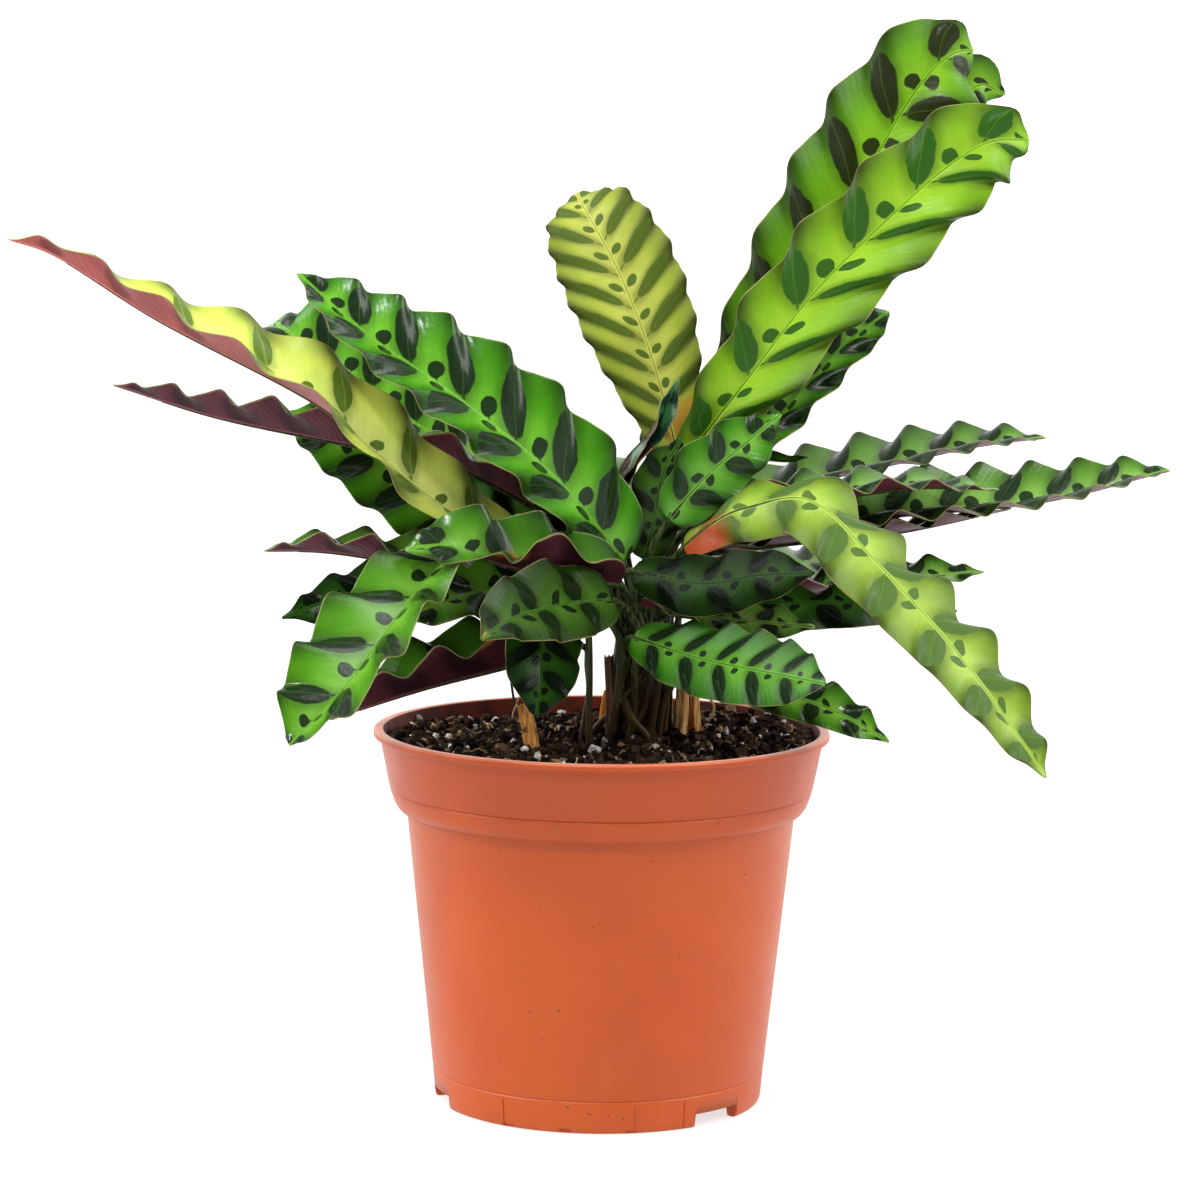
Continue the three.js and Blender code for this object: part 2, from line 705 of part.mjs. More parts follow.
// A stalk's points can move sideways, all but the last one, which holds the blade.
function nudge({ owner, step, share }, dx, dy) {
  const shares = [1 - share, share];
  for (let i = 0; i < 2; i++) {
    if (step + i === owner.stalk.length - 1) continue;
    owner.stalk[step + i].x += dx * shares[i];
    owner.stalk[step + i].y += dy * shares[i];
  }
}

function keepRoom(sample, other) {
  const away = sample.place.clone().sub(other.place);
  const lack = other.room - away.length();
  if (lack <= 0) return;
  const level = Math.max(Math.hypot(away.x, away.y), STALK.radius / 10);
  const push = (SETTLE.share * lack) / level;
  nudge(sample, away.x * push, away.y * push);
}

// The gap between the two bundles stays clear.
function keepGap(sample) {
  const { side } = CROWN[sample.owner.bundle ?? "main"];
  const edge = side > 0 ? CROWN.gapX[1] : CROWN.gapX[0];
  const inside = side * (edge - sample.place.x) + STALK.radius;
  const [low, high] = CROWN.gapZ;
  if (inside > 0 && sample.place.z > low && sample.place.z < high) {
    nudge(sample, side * inside * SETTLE.share, 0);
  }
}

function settleStalks(leaves, stubs) {
  const still = fileByCell([...leaves.flatMap(bladeSamples), ...stubs]);
  for (let pass = 0; pass < SETTLE.passes; pass++) {
    const samples = leaves.flatMap((leaf) => samplesOf(leaf.stalk, leaf, STALK.spacing));
    const moving = fileByCell(samples);
    for (const sample of samples) {
      for (const other of [...neighbours(still, sample.place), ...neighbours(moving, sample.place)]) {
        if (other.owner !== sample.owner) keepRoom(sample, other);
      }
      keepGap(sample);
    }
    for (const { stalk } of leaves) stalk[0].z = soilHeight(stalk[0].x, stalk[0].y);
  }
}

// ---- Stubs, sheath and shoot ----

function remainsLine(stump) {
  const [x, y] = stump.foot;
  return [new THREE.Vector3(x, y, soilHeight(x, y)), vector(stump.top)];
}

function makeRemains(stump) {
  const [foot, top] = remainsLine(stump);
  const { footRadius, topRadius, teeth } = stump;
  const upright = new THREE.Vector3(0, 0, 1);
  const front = new THREE.Vector3(0, -1, 0);
  const up = top.clone().sub(foot).normalize();
  const face = front.clone().addScaledVector(up, up.y).normalize();
  const torn = stalkRing(top, up, face, topRadius).map((p, i) =>
    p.addScaledVector(up, TORN_TOOTH_HEIGHT * Math.cos((Math.PI * i * teeth) / 3)),
  );
  return loft([
    stalkRing(foot.clone().setZ(foot.z - SOCKET.depth), upright, front, footRadius),
    stalkRing(foot, up, face, footRadius),
    stalkRing(foot.clone().lerp(top, STUMP_WAIST_SHARE), up, face, (footRadius + topRadius) / 2),
    torn,
  ]);
}

// ---- Assembly ----

function piece(name, geometry, tone, roughness) {
  const material = new THREE.MeshStandardMaterial({ color: COLOURS[tone], roughness, metalness: 0 });
  const mesh = new THREE.Mesh(geometry, material);
  mesh.name = name;
  return mesh;
}

for (const leaf of LEAVES) {
  leaf.curve = new THREE.CatmullRomCurve3(leaf.midrib.map(seenAt), false, "catmullrom", 0.5);
  leaf.stalk = stalkPoints(leaf);
}
settleStalks(
  LEAVES,
  REMAINS.flatMap((stub) => samplesOf(remainsLine(stub), stub, STALK.spacing / 2 + stub.footRadius)),
);

const sockets = [
  ...LEAVES.map((leaf) => socketFor(leaf.stalk[0], STALK.radius)),
  ...REMAINS.map((remains) => socketFor(remainsLine(remains)[0], remains.footRadius)),
];
const plant = new THREE.Group();
plant.add(piece("pot", makePot(), "pot", 0.45));
plant.add(piece("soil", makeSoil(sockets), "soil", 0.95));
for (const leaf of LEAVES) plant.add(piece(`leaf_${leaf.name}`, makeLeaf(leaf), leaf.tone, 0.4));
for (const remains of REMAINS) {
  plant.add(piece(remains.name, makeRemains(remains), remains.tone, 0.8));
}

export default plant;
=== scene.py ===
import math

import bmesh
import bpy
import numpy as np
from mathutils import Matrix, Vector, noise


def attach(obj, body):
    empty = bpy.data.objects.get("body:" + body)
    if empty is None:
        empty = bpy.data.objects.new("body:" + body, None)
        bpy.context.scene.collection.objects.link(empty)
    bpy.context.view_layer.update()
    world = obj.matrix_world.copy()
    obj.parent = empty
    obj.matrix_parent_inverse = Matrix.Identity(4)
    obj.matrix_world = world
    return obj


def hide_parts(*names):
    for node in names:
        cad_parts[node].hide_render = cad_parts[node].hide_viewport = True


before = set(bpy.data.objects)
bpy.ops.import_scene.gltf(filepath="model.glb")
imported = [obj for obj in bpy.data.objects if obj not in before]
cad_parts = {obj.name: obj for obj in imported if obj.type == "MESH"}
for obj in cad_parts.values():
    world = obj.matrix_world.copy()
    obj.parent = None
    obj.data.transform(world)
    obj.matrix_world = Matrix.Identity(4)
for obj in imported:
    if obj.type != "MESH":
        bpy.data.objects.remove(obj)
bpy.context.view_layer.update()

# A rattlesnake-pattern calathea in a plain 12 cm nursery pot.
# Sizes are in millimetres, angles in degrees and colours in sRGB; MM turns a size into metres.
# The origin is on the floor under the pot's centre, and the plant's front faces -Y.
MM = 0.001
SEED = 7

# ---- The viewpoint ----

# Where the eye is, what it looks at and its lens. It sees from the nearest to the farthest distance.
EYE = dict(distance=1050, elevation=7.05, roll=0.64, target=(-0.83, 0, 132.4), focal_pixels=4003,
           picture_width=1200, sensor_width=36, nearest=50, farthest=60000)

# ---- The pot and the soil ----

POT = dict(
    lip_radius=60, lip_inner_radius=57.4, height=98.4, lip_thickness=1.8,
    collar_top_radius=58.3, collar_groove_radius=55.6, collar_groove_z=83,
    collar_foot_radius=54.4, collar_foot_z=79.2, body_top_radius=51.2, body_top_z=77.3,
    body_foot_radius=43.9, foot_groove_z=8.5, foot_radius=42.8, foot_inner_radius=40.3,
    floor_z=4, wall=1.2, edge=0.4, groove=0.35, rounding=0.5, sides=180,
)
NOTCH = dict(angles=(-44, 76, 196), width_degrees=21, height=3.6, depth=8)
DRAIN_HOLE = dict(count=8, radius=3.5, circle=30, sides=24)
# Small chips out of the bottom edge, each as its angle around the pot from +X, its width and height.
# Each is cut by a box of that depth, whose middle is that far outside the foot.
CHIPS = [(-122, 3.4, 0.9), (-101, 3.0, 1.1), (-78.5, 2.8, 0.8)]
CHIP_BOX = dict(depth=2.2, outside=0.8)
# Upright mould lines on the foot band, which lie on its slope.
MOULD_LINE = dict(angles=(-124, -77, -59), low_z=0.6, high_z=7.6, radius=0.22, points=12,
                  low_radius=43.15, high_radius=43.85)

SOIL = dict(edge_level=93.5, edge_rise=4.3, edge_rise_angle=35, heap_height=4.2,
            heap_centre=(7, 3), heap_spread=24, gap=0.4, ring_step=0.9, sides=200)
# The soil's uneven surface: two sizes of lumps, as features to the millimetre and height, how far
# it sinks on the whole, and the heap against the wall at the left.
ROUGH = dict(coarse=0.22, coarse_height=1.0, fine=0.75, fine_height=0.9, sink=0.35,
             wall_heap=5.0, wall_heap_from=44, wall_heap_width=10)
# Loose bits on the soil: how many, how far out they lie, their least size and how much more it may
# be, how flat they are, and how far they stand up, as a share of their size.
CRUMB = dict(count=2600, reach=53.5, least=0.5, more=1.3, flatness=0.75, rise=0.35)
GRAIN = dict(count=150, reach=54, least=0.35, more=1.0, flatness=0.8, rise=0.45)
# A fine root's size is its length. It ends where it passes the limit, it bends by that many radians
# from the sharpest left bend to the sharpest right one, and it arches up from just above the soil.
FIBRE = dict(count=110, reach=51, least=2.5, more=8, limit=55, bend=1.6, points=7, above=0.55,
             arch=1.2, least_radius=0.1, more_radius=0.12)
# The larger white grains, by their picture column and row and their size.
NAMED_GRAINS = [(594, 755, 2.0), (538, 758, 1.3), (418, 728, 1.2), (694, 730, 1.4), (605, 741, 1.1),
                (701, 755, 1.2), (430, 745, 1.0), (471, 722, 1.0), (500, 742, 0.9), (655, 748, 1.0),
                (742, 728, 1.0), (768, 716, 1.1), (560, 730, 0.9), (787, 737, 0.9), (455, 752, 0.9)]
# Loose roots and slivers that stand up from the soil. The foot is where its end shows on the soil,
# and the way is its other points: picture column, row, and how far behind the foot. The tint picks
# its colour: below 0 dark, about 1 pale brown, above 1.5 orange.
STRANDS = [
    dict(foot=(513, 722), way=[(513, 714, 0.3), (517, 704, 0), (519, 697, -0.5)], radius=0.28, tint=0.95),
    dict(foot=(515, 718), way=[(514, 702, 0.3), (512, 688, 0.5), (510, 672, 0.7), (507, 656, 1)],
         radius=0.36, tint=-0.6),
    dict(foot=(699, 725), way=[(708, 721, 0.2), (714, 710, 0), (711, 700, -0.2), (706, 694, 0)],
         radius=0.36, tint=1.1),
    dict(foot=(602, 722), way=[(603, 712, 0), (605, 700, 0), (607, 691, 0)], radius=0.9, tint=1.6,
         flat=0.35),
]
# What is left of old stalks, and the new shoot: rough tubes, ragged at the top by that much. The
# grid is how many points go round such a tube and how many rings it has.
REMAINS_GRID = (28, 34)
REMAINS = [
    dict(name="dried_stub_left", slot="dried_stalk", foot_radius=2.1, top_radius=1.5,
         foot=(-17.5, -12), top=(-21, -12, 107), light=(232, 168, 84), dark=(178, 112, 48), ragged=2.2),
    dict(name="dried_stub_right", slot="dried_stalk", foot_radius=2, top_radius=1.4,
         foot=(20.5, 2), top=(21, 2, 112), light=(240, 194, 128), dark=(206, 144, 76), ragged=2.4),
    dict(name="dried_stub_back", slot="dried_stalk", foot_radius=1.9, top_radius=1.4,
         foot=(24.8, 8), top=(23.8, 8.5, 110.5), light=(236, 182, 110), dark=(194, 128, 62), ragged=2.4),
    dict(name="dead_sheath", slot="dead_sheath", foot_radius=1.7, top_radius=1.2,
         foot=(2.6, -6.3), top=(1.8, -6.5, 119), light=(142, 110, 76), dark=(92, 66, 46), ragged=3.0),
    dict(name="new_shoot", slot="new_shoot", foot_radius=1.1, top_radius=0.3,
         foot=(18.6, 7.6), top=(17.9, 7.9, 111), light=(128, 158, 70), dark=(88, 122, 50), ragged=0),
]

# ---- The studio ----

# Soft light comes from both sides, from above and most of all from the white backdrop; little comes
# from behind the viewer. The lamps are far away: two soft ones at the sides and a sharper one in
# front. Spread is how wide an angle a lamp fills.
STUDIO = dict(fill=0.06, sides=0.85, back=1.5, top=0.35, floor_glow=0.7, floor_radius=12)
LAMPS = [
    dict(name="left", power=2.3, spread=40, place=(-1, -0.3, 0.8)),
    dict(name="right", power=2.3, spread=40, place=(1, -0.3, 0.8)),
    dict(name="front", power=1.2, spread=5, place=(-0.3, -0.9, 1.2)),
]

# ---- The leaves ----

USUAL_SHAPE = (0.45, 0.6)
USUAL_LEAN = (51, 51)
# Where the points across a half blade lie, as shares of the way from the midrib to the margin.
ACROSS = np.array([0, 0.03, 0.07, 0.14, 0.24, 0.35, 0.46, 0.57, 0.68, 0.78, 0.87, 0.94, 0.98, 1.0])
SIDES_OUT = np.r_[-ACROSS[:0:-1], ACROSS]
# The waves and scallops are shares of the pattern's period, which is the way from oval to oval; the
# period shrinks to its narrow share at a blade's ends. The phase is where the pattern starts, and
# the left half's ovals sit that much further on. The last length of the tip narrows to a point, which
# is that share of its usual width.
BLADE = dict(step=0.9, thickness=0.5, edge_thickness=0.26, period=15, narrow_period=0.72, phase=0.3,
             left_offset=0.15, wave=0.115, scallop=0.075, sharpness=0.22, ripple_shift=0.03,
             arch=0.05, tip_length=9.0, tip_share=0.45, least_half_width=0.28)
# A stalk follows the CAD stalk's lowest rings and then bends into the blade's base. Its last points
# ease into the rib.
STALK = dict(radius=0.945, cad_rings=7, points=60, sides=10, easing=8)
# The rib under a blade, from its base to its end: how deep its middle lies, and its radius. It
# shrinks towards one share of the blade's length and is cut off at another one.
RIB = dict(depth=0.4, end_depth=0.12, radius=0.84, end_radius=0.22, shrinks_until=0.95, ends_at=0.9)

# Each leaf's midrib is given by picture column, row and depth behind the pot's axis, from the base
# to the tip. The turns fold its left and right half towards the viewer, at even steps from the base
# to the tip, or once for the whole blade. The shape says how full the outline is at base and tip,
# the lean how steeply the side veins leave the midrib on the left and right, and the wave and its
# sharpness how the blade is pleated. A stain is an oval patch: how far along and out its middle is,
# and how far it spreads along and across. A leaf is mature and of the middle green unless it says so.
LEAVES = [
    dict(name="far_left_pale", tone="young", look="pale", half_width=13.5,
         midrib=[(522, 548, -6), (444, 508, -12), (372, 450, -17), (311, 400, -22),
                 (160, 321, -24), (59, 258, -24), (8, 239, -24)],
         turns=[(55, -10), (98, -20), (130, -70)], period=23, wave=0.6, sharpness=0.1),
    dict(name="left_purple", half_width=13,
         midrib=[(560, 520, 6), (450, 465, 6), (330, 441, 4), (215, 417, 2), (113, 385, 0)],
         turns=[(110, -60), (125, -65), (125, -65)], period=16),
    dict(name="left_back_green", look="bright", half_width=14, shape=(0.45, 0.28),
         midrib=[(570, 515, 15), (480, 460, 28.7), (411, 421, 35), (335, 362, 40),
                 (288, 332, 43), (275, 322, 49)],
         turns=[(100, -20), (45, -10), (30, -10)]),
    dict(name="left_back_low", look="bright", half_width=13,
         midrib=[(545, 545, 10), (470, 520, 13.5), (410, 480, 16.5),
                 (345, 440, 19), (283, 412, 22)],
         turns=[(20, -5), (10, 0), (10, 0)]),
    dict(name="left_big", look="bright", half_width=18, shape=(0.42, 0.6),
         midrib=[(624, 562, -6), (557, 480, -11), (460, 400, -15),
                 (368, 336, -15), (297, 274, -12)],
         turns=[(62, -12), (66, -12), (66, -22)], period=17),
    dict(name="left_mid_front", look="deep", half_width=14,
         midrib=[(620, 584, -18), (560, 577, -27), (505, 566, -32),
                 (450, 547, -38), (405, 550, -40)],
         turns=[(125, -5), (125, -10), (40, -30)], period=20, stains=[(0.58, -0.55, 0.1, 0.3)],
         stain=(158, 92, 34)),
    dict(name="left_small_tip", half_width=10,
         midrib=[(545, 578, -4), (470, 572, -6), (400, 562, -8), (325, 552, -9), (264, 551, -10)],
         turns=[(110, -50), (115, -45), (125, -50)]),
    dict(name="front_left_big", look="banded", half_width=16, shape=(0.65, 0.4),
         midrib=[(490, 535, -22), (440, 566, -32), (388, 630, -52),
                 (345, 688, -66), (290, 746, -75.7)],
         turns=[(60, -15), (72, -8), (72, -5)], period=19, phase=0.1),
    dict(name="left_small_dark", look="dark", half_width=7,
         midrib=[(480, 570, -18), (400, 582, -22), (340, 598, -25), (282, 618, -27)],
         turns=[(10, -10)], period=12),
    dict(name="left_mid_behind", look="deep", half_width=10,
         midrib=[(560, 572, -16), (483, 591, -24), (440, 604, -30), (395, 622, -33)],
         turns=[(50, -20)]),
    dict(name="left_low", look="deep", half_width=14,
         midrib=[(575, 645, -8), (508, 666, -14), (434, 686, -22), (380, 703, -28),
                 (330, 720, -32)],
         turns=[(115, -25), (122, -15), (125, -40)], period=18, stains=[(0.3, -0.96, 0.14, 0.1)],
         stain=(176, 108, 34)),
    dict(name="front_centre_left", look="shaded", half_width=11.5,
         midrib=[(612, 600, -25), (575, 603, -37), (540, 610, -51),
                 (508, 621, -65), (481, 640, -77)],
         turns=[(40, -10), (35, -5), (30, -5)], period=20, wave=0.5, stains=[(0.98, 0.1, 0.05, 0.5)],
         stain=(178, 146, 60)),
    dict(name="front_centre_low", look="dark", half_width=10, shape=(0.4, 0.32),
         midrib=[(575, 600, -20), (548, 622, -34), (541, 650, -40),
                 (540, 685, -44), (536, 716, -46)],
         turns=[(10, 20), (0, 25), (0, 25)], period=9, wave=0.6),
    dict(name="centre_pale", tone="young", look="young", half_width=15.5, shape=(0.85, 0.5),
         midrib=[(682, 482, 12), (668, 414, 14), (645, 337, 17), (618, 270, 22), (592, 222, 28),
                 (583, 206, 33), (577, 193, 39)],
         turns=[(5, 5)], period=9.6, lean=(44, 58), wave=0.8, sharpness=0.45,
         stains=[(0.05, 0.5, 0.09, 1.0), (0.15, 0.5, 0.1, 0.9)], stain=(166, 124, 44)),
    dict(name="centre_small", look="shaded", half_width=7.5,
         midrib=[(645, 560, -2), (655, 515, -3), (664, 470, -3), (682, 438, -1)],
         turns=[(0, 0)], period=9, wave=0.6),
    dict(name="centre_narrow", look="blue", half_width=6,
         midrib=[(612, 500, 4), (626, 462, 3), (652, 430, 2), (679, 378, 2)],
         turns=[(110, 50), (105, 60), (50, 20)], period=12, wave=0.35),
    dict(name="centre_dark", tone="shaded", look="dark", half_width=5,
         midrib=[(590, 540, -2), (556, 512, -4), (526, 494, -6)],
         turns=[(20, 0)]),
    dict(name="centre_right_glossy", half_width=9,
         midrib=[(668, 520, -6), (706, 477, -8), (740, 448, -9), (781, 414, -8)],
         turns=[(-5, 10)], period=13, wave=0.8,
         colours=dict(green=(64, 126, 26), pale=(104, 160, 56), gloss=0.22)),
    dict(name="centre_curl", tone="shaded", look="dark", half_width=2.5,
         midrib=[(724, 490, 14), (760, 462, 12), (808, 458, 10)],
         turns=[(0, 60)]),
    # This leaf's colours are darker still: painted shade, as it lies deep in the crown's shade.
    dict(name="centre_right_small", tone="shaded", look="dark", half_width=8.5,
         midrib=[(632, 570, -16), (700, 584, -26), (755, 576, -34), (815, 573, -42)],
         turns=[(-30, 10), (-30, 10), (-20, 10)], period=14, wave=0.4,
         colours=dict(green=(18, 42, 6), pale=(36, 66, 16), big=(0.5, 0.36, 0.22), gloss=0.05)),
    dict(name="right_back_tall", tone="fresh", look="tall", half_width=18.3, shape=(0.7, 0.38),
         midrib=[(692, 474, 18), (755, 366, 23), (814, 264, 27), (871, 165, 31), (903, 110, 34),
                 (930, 73, 36), (953, 54, 39), (973, 50, 44)],
         turns=[(5, 5)], period=21, lean=(48, 48)),
    dict(name="right_back_tall_behind", look="tall", half_width=12.5, shape=(0.6, 0.4),
         midrib=[(690, 470, 30), (752, 366, 38), (834, 250, 46), (918, 148, 51), (973, 88, 54),
                 (1005, 94, 58)],
         turns=[(5, 5)], period=20),
    dict(name="right_front_tall", tone="young", look="fresh", half_width=14, shape=(0.45, 0.28),
         midrib=[(680, 466, 6), (737, 393, 4), (816, 291, 2), (903, 205, 2), (950, 165, 4),
                 (990, 142, 7), (1029, 140, 12)],
         turns=[(5, 10), (5, 10), (5, 5)], period=22, lean=(46, 28)),
    dict(name="right_dark_mid", look="deep", half_width=11, shape=(0.45, 0.45),
         midrib=[(715, 490, 8), (778, 418, 12), (842, 348, 17), (889, 312, 23)],
         turns=[(0, 60), (0, 60), (0, 50)], period=14),
    dict(name="right_long_1", half_width=13.5,
         midrib=[(708, 512, 20), (800, 484, 29), (900, 462, 36), (978, 446, 40), (1046, 438, 42)],
         turns=[(-52, 86), (-52, 86), (-52, 92)]),
    dict(name="right_long_2", half_width=12.5,
         midrib=[(690, 528, -2), (760, 508, 0), (840, 497, 4), (920, 488, 7), (999, 490, 8)],
         turns=[(-50, 128), (-60, 100), (-70, 90)], period=15.5),
    dict(name="right_long_3", half_width=14, shape=(0.45, 0.5),
         midrib=[(705, 540, 4), (800, 528, 10), (900, 515, 16), (1040, 502, 20), (1170, 471, 20)],
         turns=[(-40, 88), (-38, 88), (-38, 90)]),
    dict(name="right_long_4", half_width=10,
         midrib=[(708, 552, 9), (790, 543, 14), (900, 532, 16), (1011, 509, 20)],
         turns=[(-60, 100)], period=15.5),
    dict(name="right_pale_front", tone="young", look="olive", half_width=12, shape=(0.38, 0.5),
         midrib=[(683, 548, -12), (712, 524, -15), (748, 508, -19), (812, 502, -28),
                 (881, 568, -42), (966, 665, -56), (1046, 778, -66)],
         turns=[(-72, 40), (-55, 25), (-15, 50)], period=19.5, wave=1.15, sharpness=0.05,
         stains=[(0.03, 0.5, 0.09, 1.2)], stain=(150, 62, 22)),
    dict(name="right_mid_back", half_width=10,
         midrib=[(680, 588, 0), (777, 600, 4), (882, 582, 8), (984, 572, 10)],
         turns=[(-50, 125), (-45, 105), (-40, 60)], period=14),
    dict(name="right_low_back", tone="shaded", look="dark", half_width=8,
         midrib=[(680, 597, -9), (780, 603, -13), (874, 603, -13), (957, 611, -8)],
         turns=[(-60, 35), (-60, 30), (-60, 35)], period=14),
    dict(name="right_low_light", half_width=7,
         midrib=[(640, 606, -12), (690, 616, -17), (750, 622, -22), (815, 627, -25)],
         turns=[(-60, 120), (-40, 70), (-30, 20)], period=13),
    dict(name="front_right_low", look="deep", half_width=10.5, shape=(0.45, 0.45),
         midrib=[(632, 637, -18), (700, 659, -32), (765, 672, -48), (826, 684, -62)],
         turns=[(-20, 25), (-20, 25), (-20, 20)], period=11.5, lean=(46, 54), wave=0.8, sharpness=0.12,
         colours=dict(green=(54, 114, 18), pale=(92, 150, 44), big=(0.54, 0.46, 0.24),
                      small=(0.14, 0.08, 0.11), gloss=0.12)),
    dict(name="right_low_small", look="deep", half_width=7,
         midrib=[(700, 670, -14), (780, 693, -22), (835, 712, -30), (889, 742, -34)],
         turns=[(-10, 40), (-10, 35), (-10, 30)], period=12),
    dict(name="back_left_high", half_width=12,
         midrib=[(594, 550, 18), (532, 515, 38), (475, 488, 60), (428, 462, 80)],
         turns=[(55, -55)]),
    dict(name="back_left_low", half_width=11,
         midrib=[(590, 565, 14), (530, 550, 30), (460, 528, 48), (400, 515, 62)],
         turns=[(65, -65)]),
    dict(name="back_behind_big", half_width=11,
         midrib=[(622, 535, 24), (602, 488, 47), (576, 448, 66), (557, 420, 80)],
         turns=[(30, -30)]),
    dict(name="back_middle", half_width=9.5,
         midrib=[(648, 545, 26), (652, 515, 50), (650, 485, 68), (645, 465, 80)],
         turns=[(0, 0)]),
    dict(name="back_right_middle", half_width=11,
         midrib=[(672, 545, 25), (696, 505, 46), (716, 478, 64), (737, 455, 79)],
         turns=[(-30, 30)]),
    dict(name="back_right_high", half_width=11,
         midrib=[(690, 548, 14), (730, 520, 28), (772, 502, 40), (805, 492, 50)],
         turns=[(-40, 40)]),
    dict(name="back_right_low", half_width=11,
         midrib=[(684, 570, 15), (730, 568, 32), (790, 564, 50), (850, 558, 64)],
         turns=[(-50, 50)]),
    dict(name="back_upright", half_width=8,
         midrib=[(668, 490, 28), (668, 410, 44), (648, 335, 58), (626, 275, 70)],
         turns=[(0, 0)]),
    dict(name="back_left_upright", half_width=11.5,
         midrib=[(605, 530, 20), (560, 462, 42), (510, 412, 60), (460, 372, 74)],
         turns=[(20, -20)]),
]

# The looks of the leaves. Green is a blade's colour between the ovals and pale that beside the
# midrib; oval is the dark pattern; under and blotch are the lower face and the pattern's shade on
# it. Big and small give each oval's middle and half length as shares of the blade's half width, and
# its half breadth as a share of the period. Slim narrows the ovals on the left and right half. Gloss
# is how bright the reflections are, least_rough how sharp, and veins how strongly the fine veins show
# in the ovals.
USUAL_LOOK = dict(oval=(16, 32, 16), under=(62, 26, 32), blotch=(30, 12, 18), big=(0.45, 0.37, 0.26),
                  small=(0.16, 0.11, 0.16), slim=(1, 1), gloss=0.26, least_rough=0.1, veins=0.18)
LOOKS = {
    "bright": dict(green=(68, 142, 18), pale=(116, 186, 52), under=(78, 36, 42), blotch=(38, 16, 22),
                   big=(0.46, 0.39, 0.28), small=(0.17, 0.12, 0.16)),
    "banded": dict(green=(80, 146, 22), pale=(124, 184, 64), under=(78, 36, 42), blotch=(38, 16, 22),
                   big=(0.53, 0.42, 0.22), small=(0.18, 0.11, 0.13)),
    "fresh": dict(green=(116, 164, 20), pale=(144, 190, 40), oval=(32, 80, 10), under=(118, 120, 56),
                  blotch=(84, 84, 40), big=(0.48, 0.37, 0.25), small=(0.15, 0.11, 0.15),
                  slim=(1, 0.62), gloss=0.18, least_rough=0.24, veins=0.06),
    "tall": dict(green=(88, 146, 14), pale=(126, 182, 30), oval=(26, 30, 8), under=(96, 88, 40),
                 blotch=(44, 38, 22), big=(0.47, 0.38, 0.24), small=(0.14, 0.1, 0.15),
                 gloss=0.2, least_rough=0.2),
    "pale": dict(green=(222, 240, 100), pale=(238, 250, 142), oval=(84, 112, 32), under=(142, 70, 66),
                 blotch=(106, 44, 42), big=(0.5, 0.34, 0.15), small=(0.14, 0.09, 0.1),
                 gloss=0.2, least_rough=0.2, veins=0.05),
    "young": dict(green=(144, 160, 46), pale=(186, 192, 88), oval=(72, 92, 26), under=(146, 126, 70),
                  blotch=(100, 92, 44), big=(0.54, 0.4, 0.23), small=(0.15, 0.1, 0.14),
                  gloss=0.14, least_rough=0.3, veins=0.05),
    "olive": dict(green=(120, 152, 44), pale=(160, 188, 76), oval=(70, 98, 42), under=(146, 88, 72),
                  blotch=(106, 62, 48), big=(0.5, 0.42, 0.27), small=(0.14, 0.1, 0.15),
                  gloss=0.16, least_rough=0.24, veins=0.05),
    "deep": dict(green=(66, 124, 22), pale=(108, 164, 52), oval=(14, 28, 14)),
    "mid": dict(green=(84, 134, 40), pale=(130, 176, 80), oval=(20, 38, 18), under=(84, 40, 48),
                blotch=(46, 22, 28), big=(0.45, 0.37, 0.25)),
    # The dark and shaded looks are darker copies of the leaf colours: painted shade for leaves that lie
    # in the shade of the crown.
    "dark": dict(green=(22, 52, 8), pale=(40, 78, 18), oval=(6, 14, 6), under=(44, 18, 22),
                 blotch=(20, 8, 12), gloss=0.08),
    "shaded": dict(green=(40, 70, 12), pale=(62, 100, 30), oval=(12, 26, 10), big=(0.45, 0.37, 0.24),
                   gloss=0.12),
    "blue": dict(green=(48, 100, 56), pale=(78, 132, 80), oval=(16, 40, 32), under=(60, 24, 32),
                 big=(0.45, 0.37, 0.25)),
}
# How many fine side veins run out between one large oval and the next.
VEINS_A_STEP = 9


# ---- Small helpers ----

def srgb(colour):
    """A colour as Blender keeps it, from the usual 0 to 255 values."""
    def linear(value):
        share = value / 255
        return share / 12.92 if share <= 0.04045 else ((share + 0.055) / 1.055) ** 2.4
    return (*(linear(value) for value in colour), 1.0)


def scaled(colour, times, plus=0):
    """A lighter or darker colour."""
    return [min(255, times * value + plus) for value in colour]


def unit(vectors):
    """Vectors brought to length one along their last axis."""
    return vectors / np.maximum(np.linalg.norm(vectors, axis=-1, keepdims=True), 1e-9)


def smooth_step(value, low, high):
    share = np.clip((value - low) / (high - low), 0, 1)
    return share * share * (3 - 2 * share)


def smooth_line(points, count):
    """Evenly spaced points on the smooth curve through the given points."""
    points = np.array(points, float)
    first = 2 * points[0] - points[1]
    last = 2 * points[-1] - points[-2]
    knots = np.vstack([first, points, last])
    fine = []
    for before, start, end, after in zip(knots, knots[1:], knots[2:], knots[3:]):
        way = np.linspace(0, 1, 60, endpoint=False)[:, None]
        leave, arrive = (end - before) / 2, (after - start) / 2
        fine.append((2 * way**3 - 3 * way**2 + 1) * start + (way**3 - 2 * way**2 + way) * leave
                    + (3 * way**2 - 2 * way**3) * end + (way**3 - way**2) * arrive)
    fine = np.vstack(fine + [points[-1:]])
    walked = np.r_[0, np.cumsum(np.linalg.norm(np.diff(fine, axis=0), axis=1))]
    wanted = np.linspace(0, walked[-1], count)
    line = np.stack([np.interp(wanted, walked, fine[:, axis]) for axis in range(3)], axis=1)
    return line, wanted


